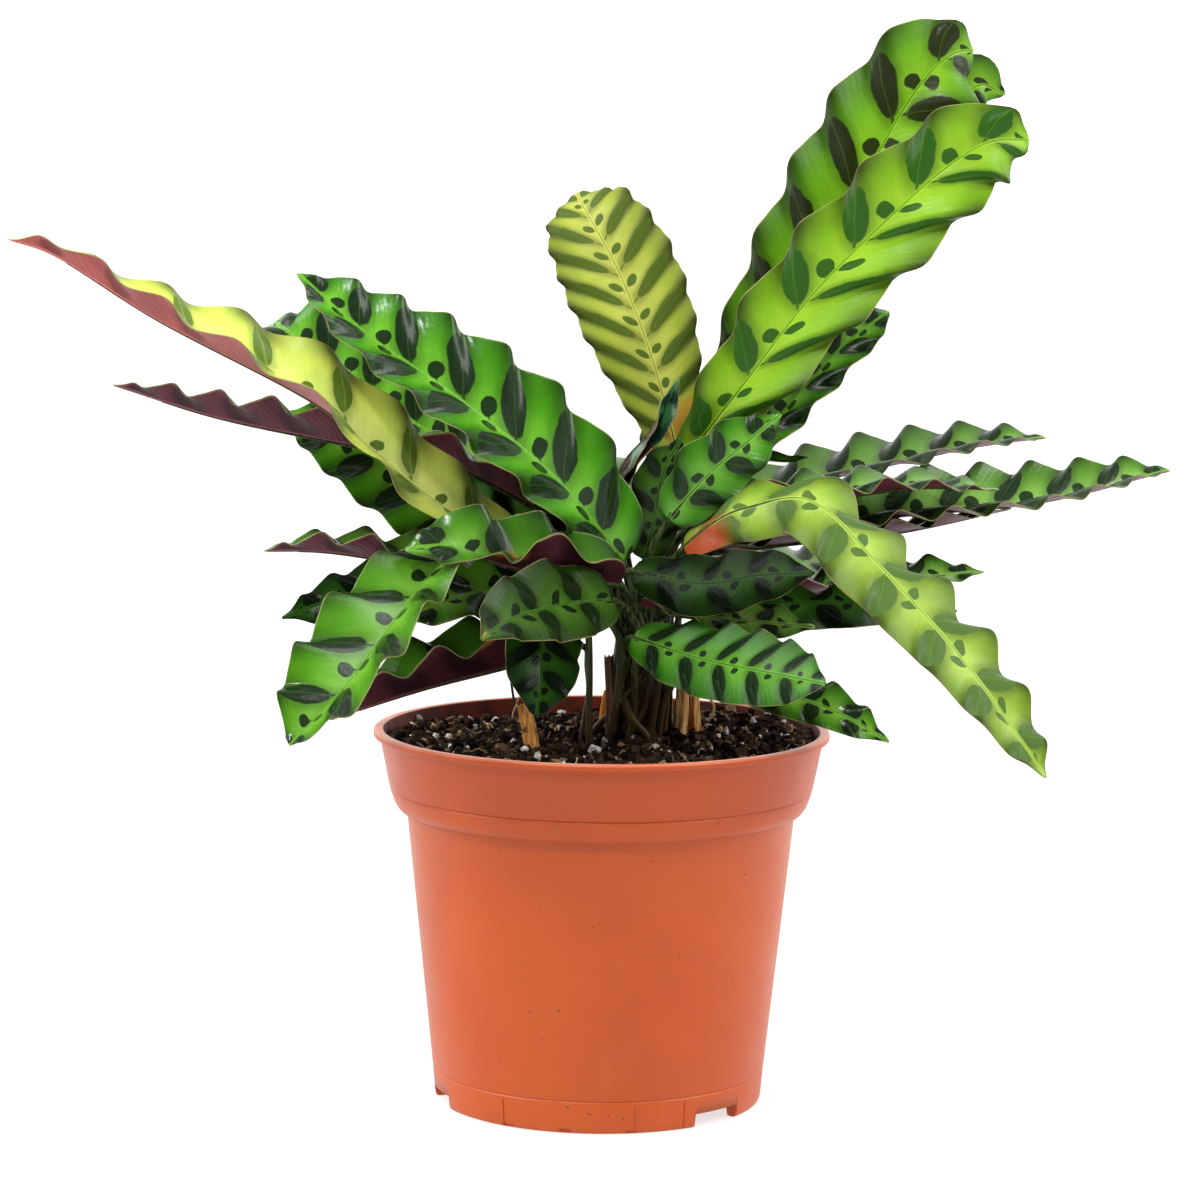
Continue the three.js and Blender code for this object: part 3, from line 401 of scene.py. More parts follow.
class Solid:
    """Gathers closed shells into one mesh, with their material numbers and surface maps."""

    def __init__(self):
        self.points, self.faces, self.kinds, self.smooth = [], [], [], []
        self.pattern, self.place, self.values = [], [], []
        self.count = 0

    def add(self, points, face_groups, kind=0, smooth=True, pattern=None, place=None, value=0.0):
        """Adds a shell. Each face group has faces of one size; kind and smooth may differ by group."""
        points = np.asarray(points, float).reshape(-1, 3)
        kinds = kind if isinstance(kind, (list, tuple)) else [kind] * len(face_groups)
        smooths = smooth if isinstance(smooth, (list, tuple)) else [smooth] * len(face_groups)
        for faces, one_kind, one_smooth in zip(face_groups, kinds, smooths):
            self.faces.extend((np.asarray(faces, int) + self.count).tolist())
            self.kinds.extend([one_kind] * len(faces))
            self.smooth.extend([one_smooth] * len(faces))
        blank = np.zeros((len(points), 2))
        self.points.append(points)
        self.pattern.append(blank if pattern is None else pattern)
        self.place.append(blank if place is None else place)
        self.values.append(np.broadcast_to(np.asarray(value, float), (len(points),)))
        self.count += len(points)

    def build(self, name, materials):
        """Makes the mesh, with its surface maps and materials, and an object of it."""
        mesh = bpy.data.meshes.new(name)
        mesh.from_pydata((np.vstack(self.points) * MM).tolist(), [], self.faces)
        mesh.polygons.foreach_set("material_index", self.kinds)
        mesh.polygons.foreach_set("use_smooth", self.smooth)
        corners = np.empty(len(mesh.loops), np.int32)
        mesh.loops.foreach_get("vertex_index", corners)
        for layer, values in (("pattern", self.pattern), ("place", self.place)):
            flat = np.vstack(values)[corners].astype(np.float32)
            mesh.uv_layers.new(name=layer).data.foreach_set("uv", flat.ravel())
        marks = mesh.attributes.new("mark", "FLOAT", "POINT")
        marks.data.foreach_set("value", np.concatenate(self.values).astype(np.float32))
        for material in materials:
            mesh.materials.append(material)
        mesh.update()
        piece = bpy.data.objects.new(name, mesh)
        bpy.context.scene.collection.objects.link(piece)
        return piece


def strip_faces(rows, columns, around=False):
    """Quads of a grid of points, closed around its columns if it is a tube."""
    wide = columns if around else columns - 1
    row, column = np.meshgrid(np.arange(rows - 1), np.arange(wide), indexing="ij")
    here = row * columns + column
    beside = row * columns + (column + 1) % columns
    return np.stack([here, beside, beside + columns, here + columns], axis=-1).reshape(-1, 4)


def tube_faces(rows, sides):
    """The faces round a tube of rings, and those that close its first and its last ring."""
    ring = np.arange(sides)
    return [strip_faces(rows, sides, around=True), [ring[::-1]], [ring + (rows - 1) * sides]]


def add_tube(solid, line, radii, sides=8, kind=0, flat=1.0, value=0.0):
    """A closed tube along a line, drawn in to a point at both ends, flat from the front or not."""
    line = np.asarray(line, float)
    along = unit(np.gradient(line, axis=0))
    radii = np.broadcast_to(np.asarray(radii, float), (len(line),))
    turn = np.linspace(0, 2 * math.pi, sides, endpoint=False)
    side = np.array((0, -1, 0), float)
    rings = []
    for centre, direction, radius in zip(line, along, radii):
        side = unit(side - direction * (side @ direction))
        other = np.cross(direction, side)
        rings.append(centre + radius * (np.cos(turn)[:, None] * side * flat
                                        + np.sin(turn)[:, None] * other))
    ends = [line[0] - along[0] * 0.3 * radii[0], line[-1] + along[-1] * 0.6 * radii[-1]]
    points = np.vstack(rings + [ends])
    first, last = len(line) * sides, len(line) * sides + 1
    spots = np.arange(sides)
    after = (spots + 1) % sides
    start_cap = np.stack([np.full(sides, first), after, spots], axis=1)
    end_cap = np.stack([np.full(sides, last), first - sides + spots, first - sides + after], axis=1)
    quads = strip_faces(len(line), sides, around=True)
    solid.add(points, [quads, start_cap, end_cap], kind=kind, value=value)


def shaped(name, shape, place=None):
    """Turns a shape into an object, moved to its place, and frees it."""
    mesh = bpy.data.meshes.new(name)
    shape.to_mesh(mesh)
    shape.free()
    if place is not None:
        mesh.transform(place)
    piece = bpy.data.objects.new(name, mesh)
    bpy.context.scene.collection.objects.link(piece)
    return piece


def ready(piece, node):
    """Hands a finished piece to the frame."""
    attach(piece, "root")
    if node:
        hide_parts(node)


# ---- Materials ----

def put(tree, value, socket):
    """Sets a node's socket to a constant, or links another node's output to it."""
    if isinstance(value, bpy.types.NodeSocket):
        tree.links.new(value, socket)
    else:
        socket.default_value = value


def calculate(tree, operation, *values):
    made = tree.nodes.new("ShaderNodeMath")
    made.operation = operation
    for value, socket in zip(values, made.inputs):
        put(tree, value, socket)
    return made.outputs[0]


class Paint:
    """Short calls for building one material's nodes."""

    def __init__(self, name, roughness=0.5, specular=0.5):
        self.material = bpy.data.materials.new(name)
        self.material.use_nodes = True
        self.tree = self.material.node_tree
        self.shader = self.tree.nodes["Principled BSDF"]
        self.shader.inputs["Roughness"].default_value = roughness
        self.shader.inputs["Specular IOR Level"].default_value = specular
        self.places = self.node("ShaderNodeTexCoord").outputs["Object"]

    def node(self, kind, **settings):
        made = self.tree.nodes.new(kind)
        for key, value in settings.items():
            setattr(made, key, value)
        return made

    def put(self, value, socket):
        put(self.tree, value, socket)

    def math(self, operation, *values):
        return calculate(self.tree, operation, *values)

    def fade(self, value, low, high):
        """Runs smoothly from 0 where the value is low to 1 where it is high."""
        made = self.node("ShaderNodeMapRange", interpolation_type="SMOOTHSTEP")
        self.put(value, made.inputs["Value"])
        made.inputs["From Min"].default_value = low
        made.inputs["From Max"].default_value = high
        return made.outputs["Result"]

    def blend(self, share, first, second):
        """The first colour where the share is 0, the second where it is 1."""
        made = self.node("ShaderNodeMix", data_type="RGBA")
        for value, socket in zip((share, first, second),
                                 (made.inputs[0], made.inputs[6], made.inputs[7])):
            self.put(value, socket)
        return made.outputs[2]

    def cover(self, colour, share, over, most=1.0):
        """Lays an sRGB colour over another one, by a share that is at most that much."""
        if most != 1.0:
            share = self.math("MULTIPLY", share, most)
        return self.blend(share, colour, srgb(over))

    def noise(self, scale, detail=2.0, stretch=None):
        """Cloudy values about 0.5, with scale features to the metre."""
        made = self.node("ShaderNodeTexNoise")
        made.inputs["Scale"].default_value = scale
        made.inputs["Detail"].default_value = detail
        places = self.places
        if stretch is not None:
            mapping = self.node("ShaderNodeMapping")
            mapping.inputs["Scale"].default_value = stretch
            self.tree.links.new(places, mapping.inputs["Vector"])
            places = mapping.outputs["Vector"]
        self.tree.links.new(places, made.inputs["Vector"])
        return made.outputs["Fac"]

    def map_of(self, layer):
        """The two values of a surface map."""
        uv = self.node("ShaderNodeUVMap", uv_map=layer)
        parts = self.node("ShaderNodeSeparateXYZ")
        self.tree.links.new(uv.outputs["UV"], parts.inputs[0])
        return parts.outputs[0], parts.outputs[1]

    def mark(self):
        return self.node("ShaderNodeAttribute", attribute_name="mark").outputs["Fac"]

    def height(self):
        parts = self.node("ShaderNodeSeparateXYZ")
        self.tree.links.new(self.places, parts.inputs[0])
        return parts.outputs[2]

    def bump(self, height, depth, strength=1.0):
        made = self.node("ShaderNodeBump")
        made.inputs["Distance"].default_value = depth * MM
        made.inputs["Strength"].default_value = strength
        self.put(height, made.inputs["Height"])
        self.tree.links.new(made.outputs["Normal"], self.shader.inputs["Normal"])

    def finish(self, colour, roughness=None):
        self.put(colour, self.shader.inputs["Base Color"])
        if roughness is not None:
            self.put(roughness, self.shader.inputs["Roughness"])
        return self.material


def oval(paint, phase, reach, centre, half_reach, half_wide):
    """How far a point is from the middle of an ellipse of the leaf's pattern: 1 on its edge."""
    wide = paint.math("POWER", paint.math("DIVIDE", phase, half_wide), 2)
    out = paint.math("SUBTRACT", reach, centre)
    tall = paint.math("POWER", paint.math("DIVIDE", out, half_reach), 2)
    return paint.math("SQRT", paint.math("ADD", wide, tall))


def leaf_pattern(paint, look, tilts):
    """The pattern of one blade face: its fine veins, the way to the nearest large oval, how far out
    a point is, the dark ovals, and the darker ground around the large ones, which on the upper face is
    partly painted shade.

    The tilts make each oval's long way run outwards and towards the tip, on the left and right.
    """
    steps, across = paint.map_of("pattern")
    reach = paint.math("ABSOLUTE", across)
    wobble = paint.math("MULTIPLY", paint.math("SUBTRACT", paint.noise(160), 0.5), 0.12)
    steps = paint.math("ADD", steps, wobble)
    from_big = paint.math("SUBTRACT", steps, paint.math("ROUND", steps))
    phase = paint.math("ABSOLUTE", from_big)
    later = paint.math("ADD", steps, 0.5)
    from_small = paint.math("SUBTRACT", later, paint.math("ROUND", later))
    reach_wobbly = paint.math("ADD", reach, paint.math("MULTIPLY", wobble, 0.8))
    # The ovals may be slimmer on one half of the blade, as its right half is seen more edge-on.
    left_slim, right_slim = look["slim"]
    side = paint.math("GREATER_THAN", across, 0)
    slim = paint.math("MULTIPLY_ADD", side, right_slim - left_slim, left_slim)
    tilt = paint.math("MULTIPLY_ADD", side, float(tilts[1] - tilts[0]), float(tilts[0]))

    def tilted(gap, sizes):
        out = paint.math("MULTIPLY_ADD", gap, tilt, reach_wobbly)
        return oval(paint, paint.math("DIVIDE", gap, slim), out, *sizes)

    big, small = tilted(from_big, look["big"]), tilted(from_small, look["small"])
    half_way = paint.math("ABSOLUTE", from_small)
    stem = paint.math("MULTIPLY", paint.fade(phase, 0.035, 0.015), paint.fade(reach, 0.16, 0.1))
    small_stem = paint.math("MULTIPLY", paint.fade(half_way, 0.025, 0.01),
                            paint.fade(reach, 0.1, 0.06))
    stems = paint.math("MAXIMUM", stem, small_stem)
    nearest = paint.math("MINIMUM", big, small)
    ovals = paint.math("MAXIMUM", paint.fade(nearest, 1.06, 0.94), stems)
    around = paint.fade(big, 1.75, 1.0)
    fine = paint.math("SINE", paint.math("MULTIPLY", steps, 2 * math.pi * VEINS_A_STEP))
    return fine, phase, reach, ovals, around


def stained(paint):
    """How strongly a discoloured patch shows."""
    mottled = paint.math("ADD", paint.mark(), paint.math("MULTIPLY", paint.noise(240, 3), 0.5))
    return paint.fade(mottled, 0.5, 1.05)


def upper_material(name, look, tilts, stain):
    """Green with dark ovals, a pale midrib and a thin dry margin, stained where a leaf is, and with
    painted shade along the margin, round the large ovals and in the midrib's groove.
    """
    paint = Paint(name, roughness=0.3, specular=look["gloss"])
    fine, phase, reach, ovals, around = leaf_pattern(paint, look, tilts)
    out = paint.map_of("place")[1]
    green, pale = look["green"], look["pale"]
    deeper, edge_green_and_shade = scaled(green, 0.8), scaled(green, 0.38)
    cloudy = paint.fade(paint.noise(70, 3), 0.35, 0.7)
    veins = paint.fade(fine, 0.1, 1.0)
    colour = paint.blend(paint.fade(reach, 0.05, 0.75), srgb(pale), srgb(green))
    colour = paint.cover(colour, cloudy, deeper, 0.45)
    colour = paint.cover(colour, veins, deeper, 0.06)
    # A darker band along the margin, widest beside the ovals, and a darker ground round the large ovals:
    # partly the leaf's own dark edge, partly painted shade of the margins and folds.
    beside = paint.math("MULTIPLY_ADD", paint.fade(phase, 0.5, 0.1), 0.7, 0.3)
    band = paint.math("MULTIPLY", paint.fade(reach, 0.5, 1.0), beside)
    colour = paint.cover(colour, around, edge_green_and_shade, 0.42)
    colour = paint.cover(colour, band, edge_green_and_shade)
    # The ovals, with paler streaks and a thin green vein through the middle of each.
    dark = paint.cover(srgb(look["oval"]), veins, scaled(look["oval"], 1.25, 14), look["veins"])
    dark = paint.cover(dark, paint.fade(phase, 0.02, 0.006), green, 0.16)
    colour = paint.blend(paint.math("MULTIPLY", ovals, 0.96), colour, dark)
    if stain:
        colour = paint.cover(colour, stained(paint), stain)
    # The pale midrib with a dark line down its middle, painted shade of its groove, and the thin dry
    # margin.
    colour = paint.cover(colour, paint.fade(out, 0.75, 0.4), pale, 0.8)
    colour = paint.cover(colour, paint.fade(out, 0.24, 0.1), look["oval"], 0.65)
    colour = paint.cover(colour, paint.fade(reach, 0.984, 0.996), (160, 146, 92), 0.5)
    paint.bump(paint.math("ADD", paint.math("MULTIPLY", fine, 0.16), paint.noise(700, 2)), 0.1, 0.5)
    gloss = paint.math("MULTIPLY_ADD", paint.noise(300, 2), 0.26, look["least_rough"])
    return paint.finish(colour, gloss)


def under_material(name, look, tilts, stain):
    """Mostly purple, with the ovals' shade, a paler rib and a dry margin."""
    paint = Paint(name, roughness=0.5, specular=0.18)
    fine, _, reach, _, around = leaf_pattern(paint, look, tilts)
    out = paint.map_of("place")[1]
    under, blotch = look["under"], look["blotch"]
    cloudy = paint.fade(paint.noise(60, 3), 0.35, 0.7)
    colour = paint.cover(srgb(under), cloudy, scaled(under, 1.3, 10), 0.6)
    colour = paint.cover(colour, paint.fade(fine, 0, 1), blotch, 0.2)
    colour = paint.cover(colour, around, blotch, 0.8)
    if stain:
        colour = paint.cover(colour, stained(paint), stain)
    colour = paint.cover(colour, paint.fade(out, 1.0, 0.5), scaled(under, 1.2, 34), 0.8)
    colour = paint.cover(colour, paint.fade(reach, 0.95, 0.985), (150, 130, 92), 0.7)
    paint.bump(paint.math("ADD", paint.math("MULTIPLY", fine, 0.3), paint.noise(700, 2)), 0.1, 0.5)
    gloss = paint.math("MULTIPLY_ADD", paint.noise(300, 2), 0.2, 0.34)
    return paint.finish(colour, gloss)


def stalk_material(name, look):
    """A dark green stalk with pale streaks, which turns brown near the soil; its darkness is painted
    shade of the crown.
    """
    paint = Paint(name, roughness=0.4, specular=0.15)
    streaks = paint.fade(paint.noise(1.0, 3, stretch=(900, 900, 50)), 0.38, 0.66)
    # The stalk's green is about a quarter as bright as its leaf's: painted shade of the crown.
    colour = paint.cover(srgb(scaled(look["green"], 0.27, 4)), streaks, (66, 78, 36))
    height = paint.math("ADD", paint.height(), paint.math("MULTIPLY", paint.noise(300, 2), 10 * MM))
    colour = paint.cover(colour, paint.fade(height, 128 * MM, 100 * MM), (86, 64, 38))
    paint.bump(streaks, 0.15, 0.5)
    return paint.finish(colour)


def pot_material():
    """Orange plastic, a little worn and cloudy, with dark specks."""
    paint = Paint("pot_plastic", roughness=0.42, specular=0.42)
    cloudy = paint.fade(paint.noise(26, 4), 0.35, 0.7)
    worn = paint.fade(paint.noise(70, 5, stretch=(1, 1, 0.5)), 0.6, 0.78)
    specks = paint.fade(paint.noise(520, 1), 0.765, 0.785)
    colour = paint.cover(srgb((179, 73, 4)), cloudy, (167, 62, 2), 0.5)
    colour = paint.cover(colour, worn, (198, 100, 54), 0.25)
    colour = paint.cover(colour, specks, (92, 50, 34))
    # The collar is a little deeper in colour, and the lip's top is paler: a painted highlight, where
    # light glances off the rim.
    height = paint.height()
    colour = paint.cover(colour, paint.fade(height, 78 * MM, 84 * MM), (158, 56, 3), 0.5)
    colour = paint.cover(colour, paint.fade(height, 97.6 * MM, 98.5 * MM), (204, 116, 80))
    paint.bump(paint.noise(1500, 3), 0.05, 0.5)
    gloss = paint.math("MULTIPLY_ADD", paint.noise(60, 4), 0.2, 0.3)
    return paint.finish(colour, gloss)


def pot_inside_material():
    """The inside is dark and reddish: painted shade inside the pot, with patches of dried soil on it."""
    paint = Paint("pot_inside", roughness=0.6, specular=0.12)
    dirt = paint.fade(paint.noise(180, 4), 0.42, 0.66)
    # The dark reddish ground is painted shade; the patches over it are dried soil.
    colour = paint.cover(srgb((124, 50, 36)), dirt, (86, 44, 36))
    paint.bump(paint.noise(700, 3), 0.08, 0.5)
    return paint.finish(colour)


def soil_material():
    """Dark, damp peat with paler bits in it."""
    paint = Paint("soil_peat", roughness=0.95, specular=0.08)
    patches = paint.fade(paint.noise(420, 4), 0.36, 0.64)
    bits = paint.fade(paint.noise(1300, 2), 0.6, 0.68)
    colour = paint.cover(srgb((16, 11, 8)), patches, (62, 45, 31))
    colour = paint.cover(colour, bits, (140, 108, 76), 0.8)
    paint.bump(paint.noise(1100, 4), 0.7, 1.0)
    return paint.finish(colour)


def crumb_material():
    """Each crumb has one shade, mostly dark, and a few are pale."""
    paint = Paint("soil_crumbs", roughness=0.95, specular=0.08)
    tint = paint.mark()
    colour = paint.cover(srgb((14, 11, 9)), paint.fade(tint, 0.15, 0.9), (66, 49, 35))
    colour = paint.cover(colour, paint.fade(tint, 0.9, 0.96), (158, 128, 94))
    paint.bump(paint.noise(1600, 3), 0.4, 0.8)
    return paint.finish(colour)


def perlite_material():
    paint = Paint("soil_perlite", roughness=0.85)
    shade = paint.fade(paint.noise(900, 3), 0.4, 0.66)
    paint.bump(paint.noise(1800, 3), 0.35, 0.8)
    return paint.finish(paint.cover(srgb((232, 230, 224)), shade, (176, 168, 156)))


def fibre_material():
    paint = Paint("soil_fibres", roughness=0.8)
    tint = paint.mark()
    colour = paint.cover(srgb((22, 24, 26)), paint.fade(tint, -0.6, 0.2), (84, 58, 38))
    colour = paint.cover(colour, paint.fade(tint, 0, 1), (186, 150, 104))
    colour = paint.cover(colour, paint.fade(tint, 1.2, 1.5), (222, 132, 44))
    return paint.finish(colour)


def fibrous_material(name, light, dark):
    """A stringy skin, streaked up its length and darker in patches."""
    paint = Paint(name, roughness=0.75)
    streaks = paint.fade(paint.noise(1.0, 4, stretch=(1300, 1300, 90)), 0.36, 0.64)
    patches = paint.fade(paint.noise(260, 3), 0.58, 0.75)
    colour = paint.cover(srgb(light), streaks, dark)
    colour = paint.cover(colour, patches, scaled(dark, 0.5))
    paint.bump(streaks, 0.35, 0.9)
    return paint.finish(colour)


# ---- The viewpoint ----

def eye_axes():
    """Where the eye is, and its forward, right and up directions."""
    tilt = math.radians(EYE["elevation"])
    roll = math.radians(EYE["roll"])
    forward = np.array([0, math.cos(tilt), -math.sin(tilt)])
    place = np.array(EYE["target"]) - forward * EYE["distance"]
    level = np.array([1.0, 0, 0])
    above = np.cross(level, forward)
    right = math.cos(roll) * level + math.sin(roll) * above
    up = -math.sin(roll) * level + math.cos(roll) * above
    return place, forward, right, up


EYE_PLACE, EYE_FORWARD, EYE_RIGHT, EYE_UP = eye_axes()


def seen_at(column, row, depth):
    """The point at that picture column and row, and at that depth behind the pot's axis."""
    centre = EYE["picture_width"] / 2
    ray = (EYE_FORWARD + EYE_RIGHT * (column - centre) / EYE["focal_pixels"]
           + EYE_UP * (centre - row) / EYE["focal_pixels"])
    return EYE_PLACE + ray * (depth - EYE_PLACE[1]) / ray[1]


def make_camera():
    camera = bpy.data.objects.new("camera", bpy.data.cameras.new("camera"))
    bpy.context.scene.collection.objects.link(camera)
    camera.data.sensor_width = EYE["sensor_width"]
    camera.data.lens = EYE["sensor_width"] * EYE["focal_pixels"] / EYE["picture_width"]
    camera.data.clip_start = EYE["nearest"] * MM
    camera.data.clip_end = EYE["farthest"] * MM
    turn = Matrix([EYE_RIGHT, EYE_UP, -EYE_FORWARD]).transposed().to_4x4()
    camera.matrix_world = Matrix.Translation(Vector(EYE_PLACE * MM)) @ turn
    bpy.context.scene.camera = camera


# ---- The leaves ----

def between(turns, shares):
    """The turn at each share of the way along, from turns at even steps."""
    return np.interp(shares, np.linspace(0, 1, len(turns)), turns)


def half_width(leaf, shares, length):
    """The blade's half width along it, narrowed to a fine point at the tip."""
    base, tip = leaf.get("shape", USUAL_SHAPE)
    widest = base / (base + tip)
    peak = widest**base * (1 - widest)**tip
    wide = leaf["half_width"] * shares**base * (1 - shares)**tip / peak
    left = (1 - shares) * length
    point = BLADE["tip_share"]
    fine = point + (1 - point) * smooth_step(left, 0, BLADE["tip_length"])
    return np.maximum(wide * fine, BLADE["least_half_width"])


def stalk_rings(node):
    """The centres of a CAD leaf's stalk rings, from the bottom up, found by walking its mesh."""
    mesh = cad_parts[node].data
    points = np.array([vertex.co for vertex in mesh.vertices]) / MM
    keys, index = np.unique(np.round(points, 4), axis=0, return_inverse=True)
    index = index.ravel()
    nearby = [set() for _ in keys]
    for edge in mesh.edges:
        one, other = (index[end] for end in edge.vertices)
        nearby[one].add(other)
        nearby[other].add(one)
    layer = set(np.flatnonzero(keys[:, 2] < keys[:, 2].min() + 0.001))
    seen, centres = set(layer), []
    while layer:
        centres.append(keys[sorted(layer)].mean(axis=0))
        layer = set().union(*(nearby[spot] for spot in layer)) - seen
        seen |= layer
    return np.array(centres)


def blade_axes(centre, along):
    """Sideways and towards-the-eye directions, carried on where the blade points at the eye."""
    towards = unit(EYE_PLACE - centre)
    out = towards - along * (towards * along).sum(axis=1, keepdims=True)
    clear = smooth_step(np.linalg.norm(out, axis=1), 0.15, 0.45)
    seen_right = np.cross(along, unit(out))
    rights = [seen_right[0]]
    for direction, seen, trust in zip(along[1:], seen_right[1:], clear[1:]):
        carried = unit(rights[-1] - direction * (rights[-1] @ direction))
        mixed = seen * trust + carried * (1 - trust)
        rights.append(unit(mixed - direction * (mixed @ direction)))
    right = np.array(rights)
    return right, np.cross(right, along)


def rippled(steps, sharpness):
    """The blade's wave: it rises quickly across each large oval and falls slowly after it."""
    turn = 2 * math.pi * (steps + BLADE["ripple_shift"])
    return np.sin(turn) + sharpness * np.sin(2 * turn)


def blade_grid(leaf, centre, walked, along, reaches, face, wide):
    """The blade's middle surface as a grid of points, its two surface maps, and its ovals' tilts."""
    share = wide / leaf["half_width"]
    full_period = leaf.get("period", BLADE["period"])
    # The pattern's steps run closer together where the blade is narrow.
    narrow = BLADE["narrow_period"]
    period = full_period * (narrow + (1 - narrow) * share)
    steps = np.r_[0, np.cumsum(np.diff(walked) / ((period[1:] + period[:-1]) / 2))]
    steps = steps + leaf.get("phase", BLADE["phase"])
    angles = np.radians(leaf.get("lean", USUAL_LEAN))
    leans = 1 / np.tan(angles)
    tilts = full_period * np.sin(angles) * np.cos(angles) / leaf["half_width"]
    swing = leaf.get("wave", 1.0) * period * share**0.7
    sharpness = leaf.get("sharpness", BLADE["sharpness"])

    rows, columns = len(centre), len(SIDES_OUT)
    points = np.zeros((rows, columns, 3))
    pattern = np.zeros((rows, columns, 2))
    place = np.zeros((rows, columns, 2))
    for column, signed in enumerate(SIDES_OUT):
        reach = abs(signed)
        half = 0 if signed < 0 else 1
        direction = reaches[half]
        # The face's own upward direction on this half of the blade.
        upward = unit(np.cross(direction, along) * (1 if signed > 0 else -1)) if signed else face
        offset = BLADE["left_offset"] if signed < 0 else 0
        leaning = steps - reach * wide * leans[half] / period + offset
        ripple = rippled(leaning, sharpness)
        outward = reach * (wide + BLADE["scallop"] * swing * ripple)
        lift = BLADE["wave"] * swing * ripple * reach**1.35
        lift = lift + BLADE["arch"] * wide * math.sin(math.pi * reach)
        points[:, column] = centre + direction * outward[:, None] + upward * lift[:, None]
        pattern[:, column] = np.stack([leaning, np.full(rows, signed)], axis=1)
        place[:, column] = np.stack([walked / walked[-1], reach * wide], axis=1)
    return points, pattern, place, tilts


def stains_on(leaf, pattern, place):
    """How strongly the leaf's discoloured patches show at each point of both of its faces."""
    strength = np.zeros(2 * place[..., 0].size)
    for at, signed_reach, spread_along, spread_across in leaf.get("stains", []):
        gap = ((place[..., 0] - at) / spread_along)**2
        gap = gap + ((pattern[..., 1] - signed_reach) / spread_across)**2
        strength = np.maximum(strength, np.tile(np.exp(-gap).ravel(), 2))
    return strength


def add_blade(solid, points, pattern, place, face, wide, stains):
    """The blade as a closed shell: its upper face, its lower face and the rim between them."""
    rows, columns = points.shape[:2]
    normal = unit(np.cross(np.gradient(points, axis=1), np.gradient(points, axis=0)))
    middle = len(ACROSS) - 1
    flip = np.sign((normal[:, middle] * face).sum(axis=1))[:, None, None]
    thick = BLADE["thickness"] + (BLADE["edge_thickness"] - BLADE["thickness"]) * np.abs(SIDES_OUT)
    # Near the tip the blade is never thicker than it is wide.
    thick = np.minimum(thick[None, :], 0.7 * wide[:, None])
    half = normal * flip * (thick / 2)[..., None]
    both = np.vstack([(points + half).reshape(-1, 3), (points - half).reshape(-1, 3)])

    quads = strip_faces(rows, columns)
    below = quads[:, ::-1] + rows * columns
    border = np.r_[np.arange(columns), np.arange(1, rows) * columns + columns - 1,
                   (rows - 1) * columns + np.arange(columns - 2, -1, -1),
                   np.arange(rows - 2, 0, -1) * columns]
    after = np.roll(border, -1)
    rim = np.stack([border, border + rows * columns, after + rows * columns, after], axis=1)
    solid.add(both, [quads, below, rim], kind=[0, 1, 0], smooth=[True, True, False],
              pattern=np.tile(pattern.reshape(-1, 2), (2, 1)),
              place=np.tile(place.reshape(-1, 2), (2, 1)), value=stains)


def add_stalk(solid, node, centre, face, shares):
    """The stalk from the soil to the blade, which runs on under the blade as its rib."""
    foot = stalk_rings(node)[:STALK["cad_rings"]]
    stalk = smooth_line(np.vstack([foot, centre[:1]]), STALK["points"])[0][:-1]
    left = np.clip(1 - shares / RIB["shrinks_until"], 0, 1)
    rib = centre - face * (RIB["end_depth"] + (RIB["depth"] - RIB["end_depth"]) * left)[:, None]
    rib_radii = RIB["end_radius"] + (RIB["radius"] - RIB["end_radius"]) * left**1.5
    kept = shares < RIB["ends_at"]
    line = np.vstack([stalk, rib[kept][::2]])
    thick, joint = STALK["radius"], len(stalk)
    radii = np.r_[np.full(joint, thick), rib_radii[kept][::2]]
    easing = np.linspace(0, 1, STALK["easing"])
    radii[joint - len(easing):joint] = thick + (radii[joint] - thick) * easing
    add_tube(solid, line, radii, sides=STALK["sides"], kind=2)


def make_leaf(leaf):
    """One leaf's blade and stalk, in the place of its CAD leaf."""
    name = leaf["name"]
    midrib = [seen_at(*point) for point in leaf["midrib"]]
    rough_length = smooth_line(midrib, 50)[1][-1]
    centre, walked = smooth_line(midrib, int(rough_length / BLADE["step"]) + 2)
    shares = walked / walked[-1]
    along = unit(np.gradient(centre, axis=0))
    right, out = blade_axes(centre, along)
    reaches = []
    for side, column in ((-1, 0), (1, 1)):
        angle = np.radians(between([turn[column] for turn in leaf["turns"]], shares))[:, None]
        reaches.append(side * np.cos(angle) * right + np.sin(angle) * out)
    face = unit(np.cross(reaches[1] - reaches[0], along))
    wide = half_width(leaf, shares, walked[-1])
    points, pattern, place, tilts = blade_grid(leaf, centre, walked, along, reaches, face, wide)

    solid = Solid()
    add_blade(solid, points, pattern, place, face, wide, stains_on(leaf, pattern, place))
    add_stalk(solid, "leaf_" + name, centre, face, shares)
    look = {**USUAL_LOOK, **LOOKS[leaf.get("look", "mid")], **leaf.get("colours", {})}
    piece = solid.build("plant_" + name, [
        upper_material(name + "_upper", look, tilts, leaf.get("stain")),
        under_material(name + "_under", look, tilts, leaf.get("stain")),
        stalk_material(name + "_stalk", look),
    ])
    ready(piece, "leaf_" + name)


# ---- The pot ----

def rounded(outline, reach):
    """An outline with each corner replaced by a short curve."""
    outline = [np.array(p, float) for p in outline]
    made = [outline[0]]
    for before, corner, after in zip(outline, outline[1:], outline[2:]):
        room = min(np.linalg.norm(corner - before), np.linalg.norm(after - corner)) * 0.45
        cut = min(reach, room)
        start = corner + (before - corner) / np.linalg.norm(before - corner) * cut
        end = corner + (after - corner) / np.linalg.norm(after - corner) * cut
        made += [start, 0.25 * start + 0.5 * corner + 0.25 * end, end]
    return made + [outline[-1]]


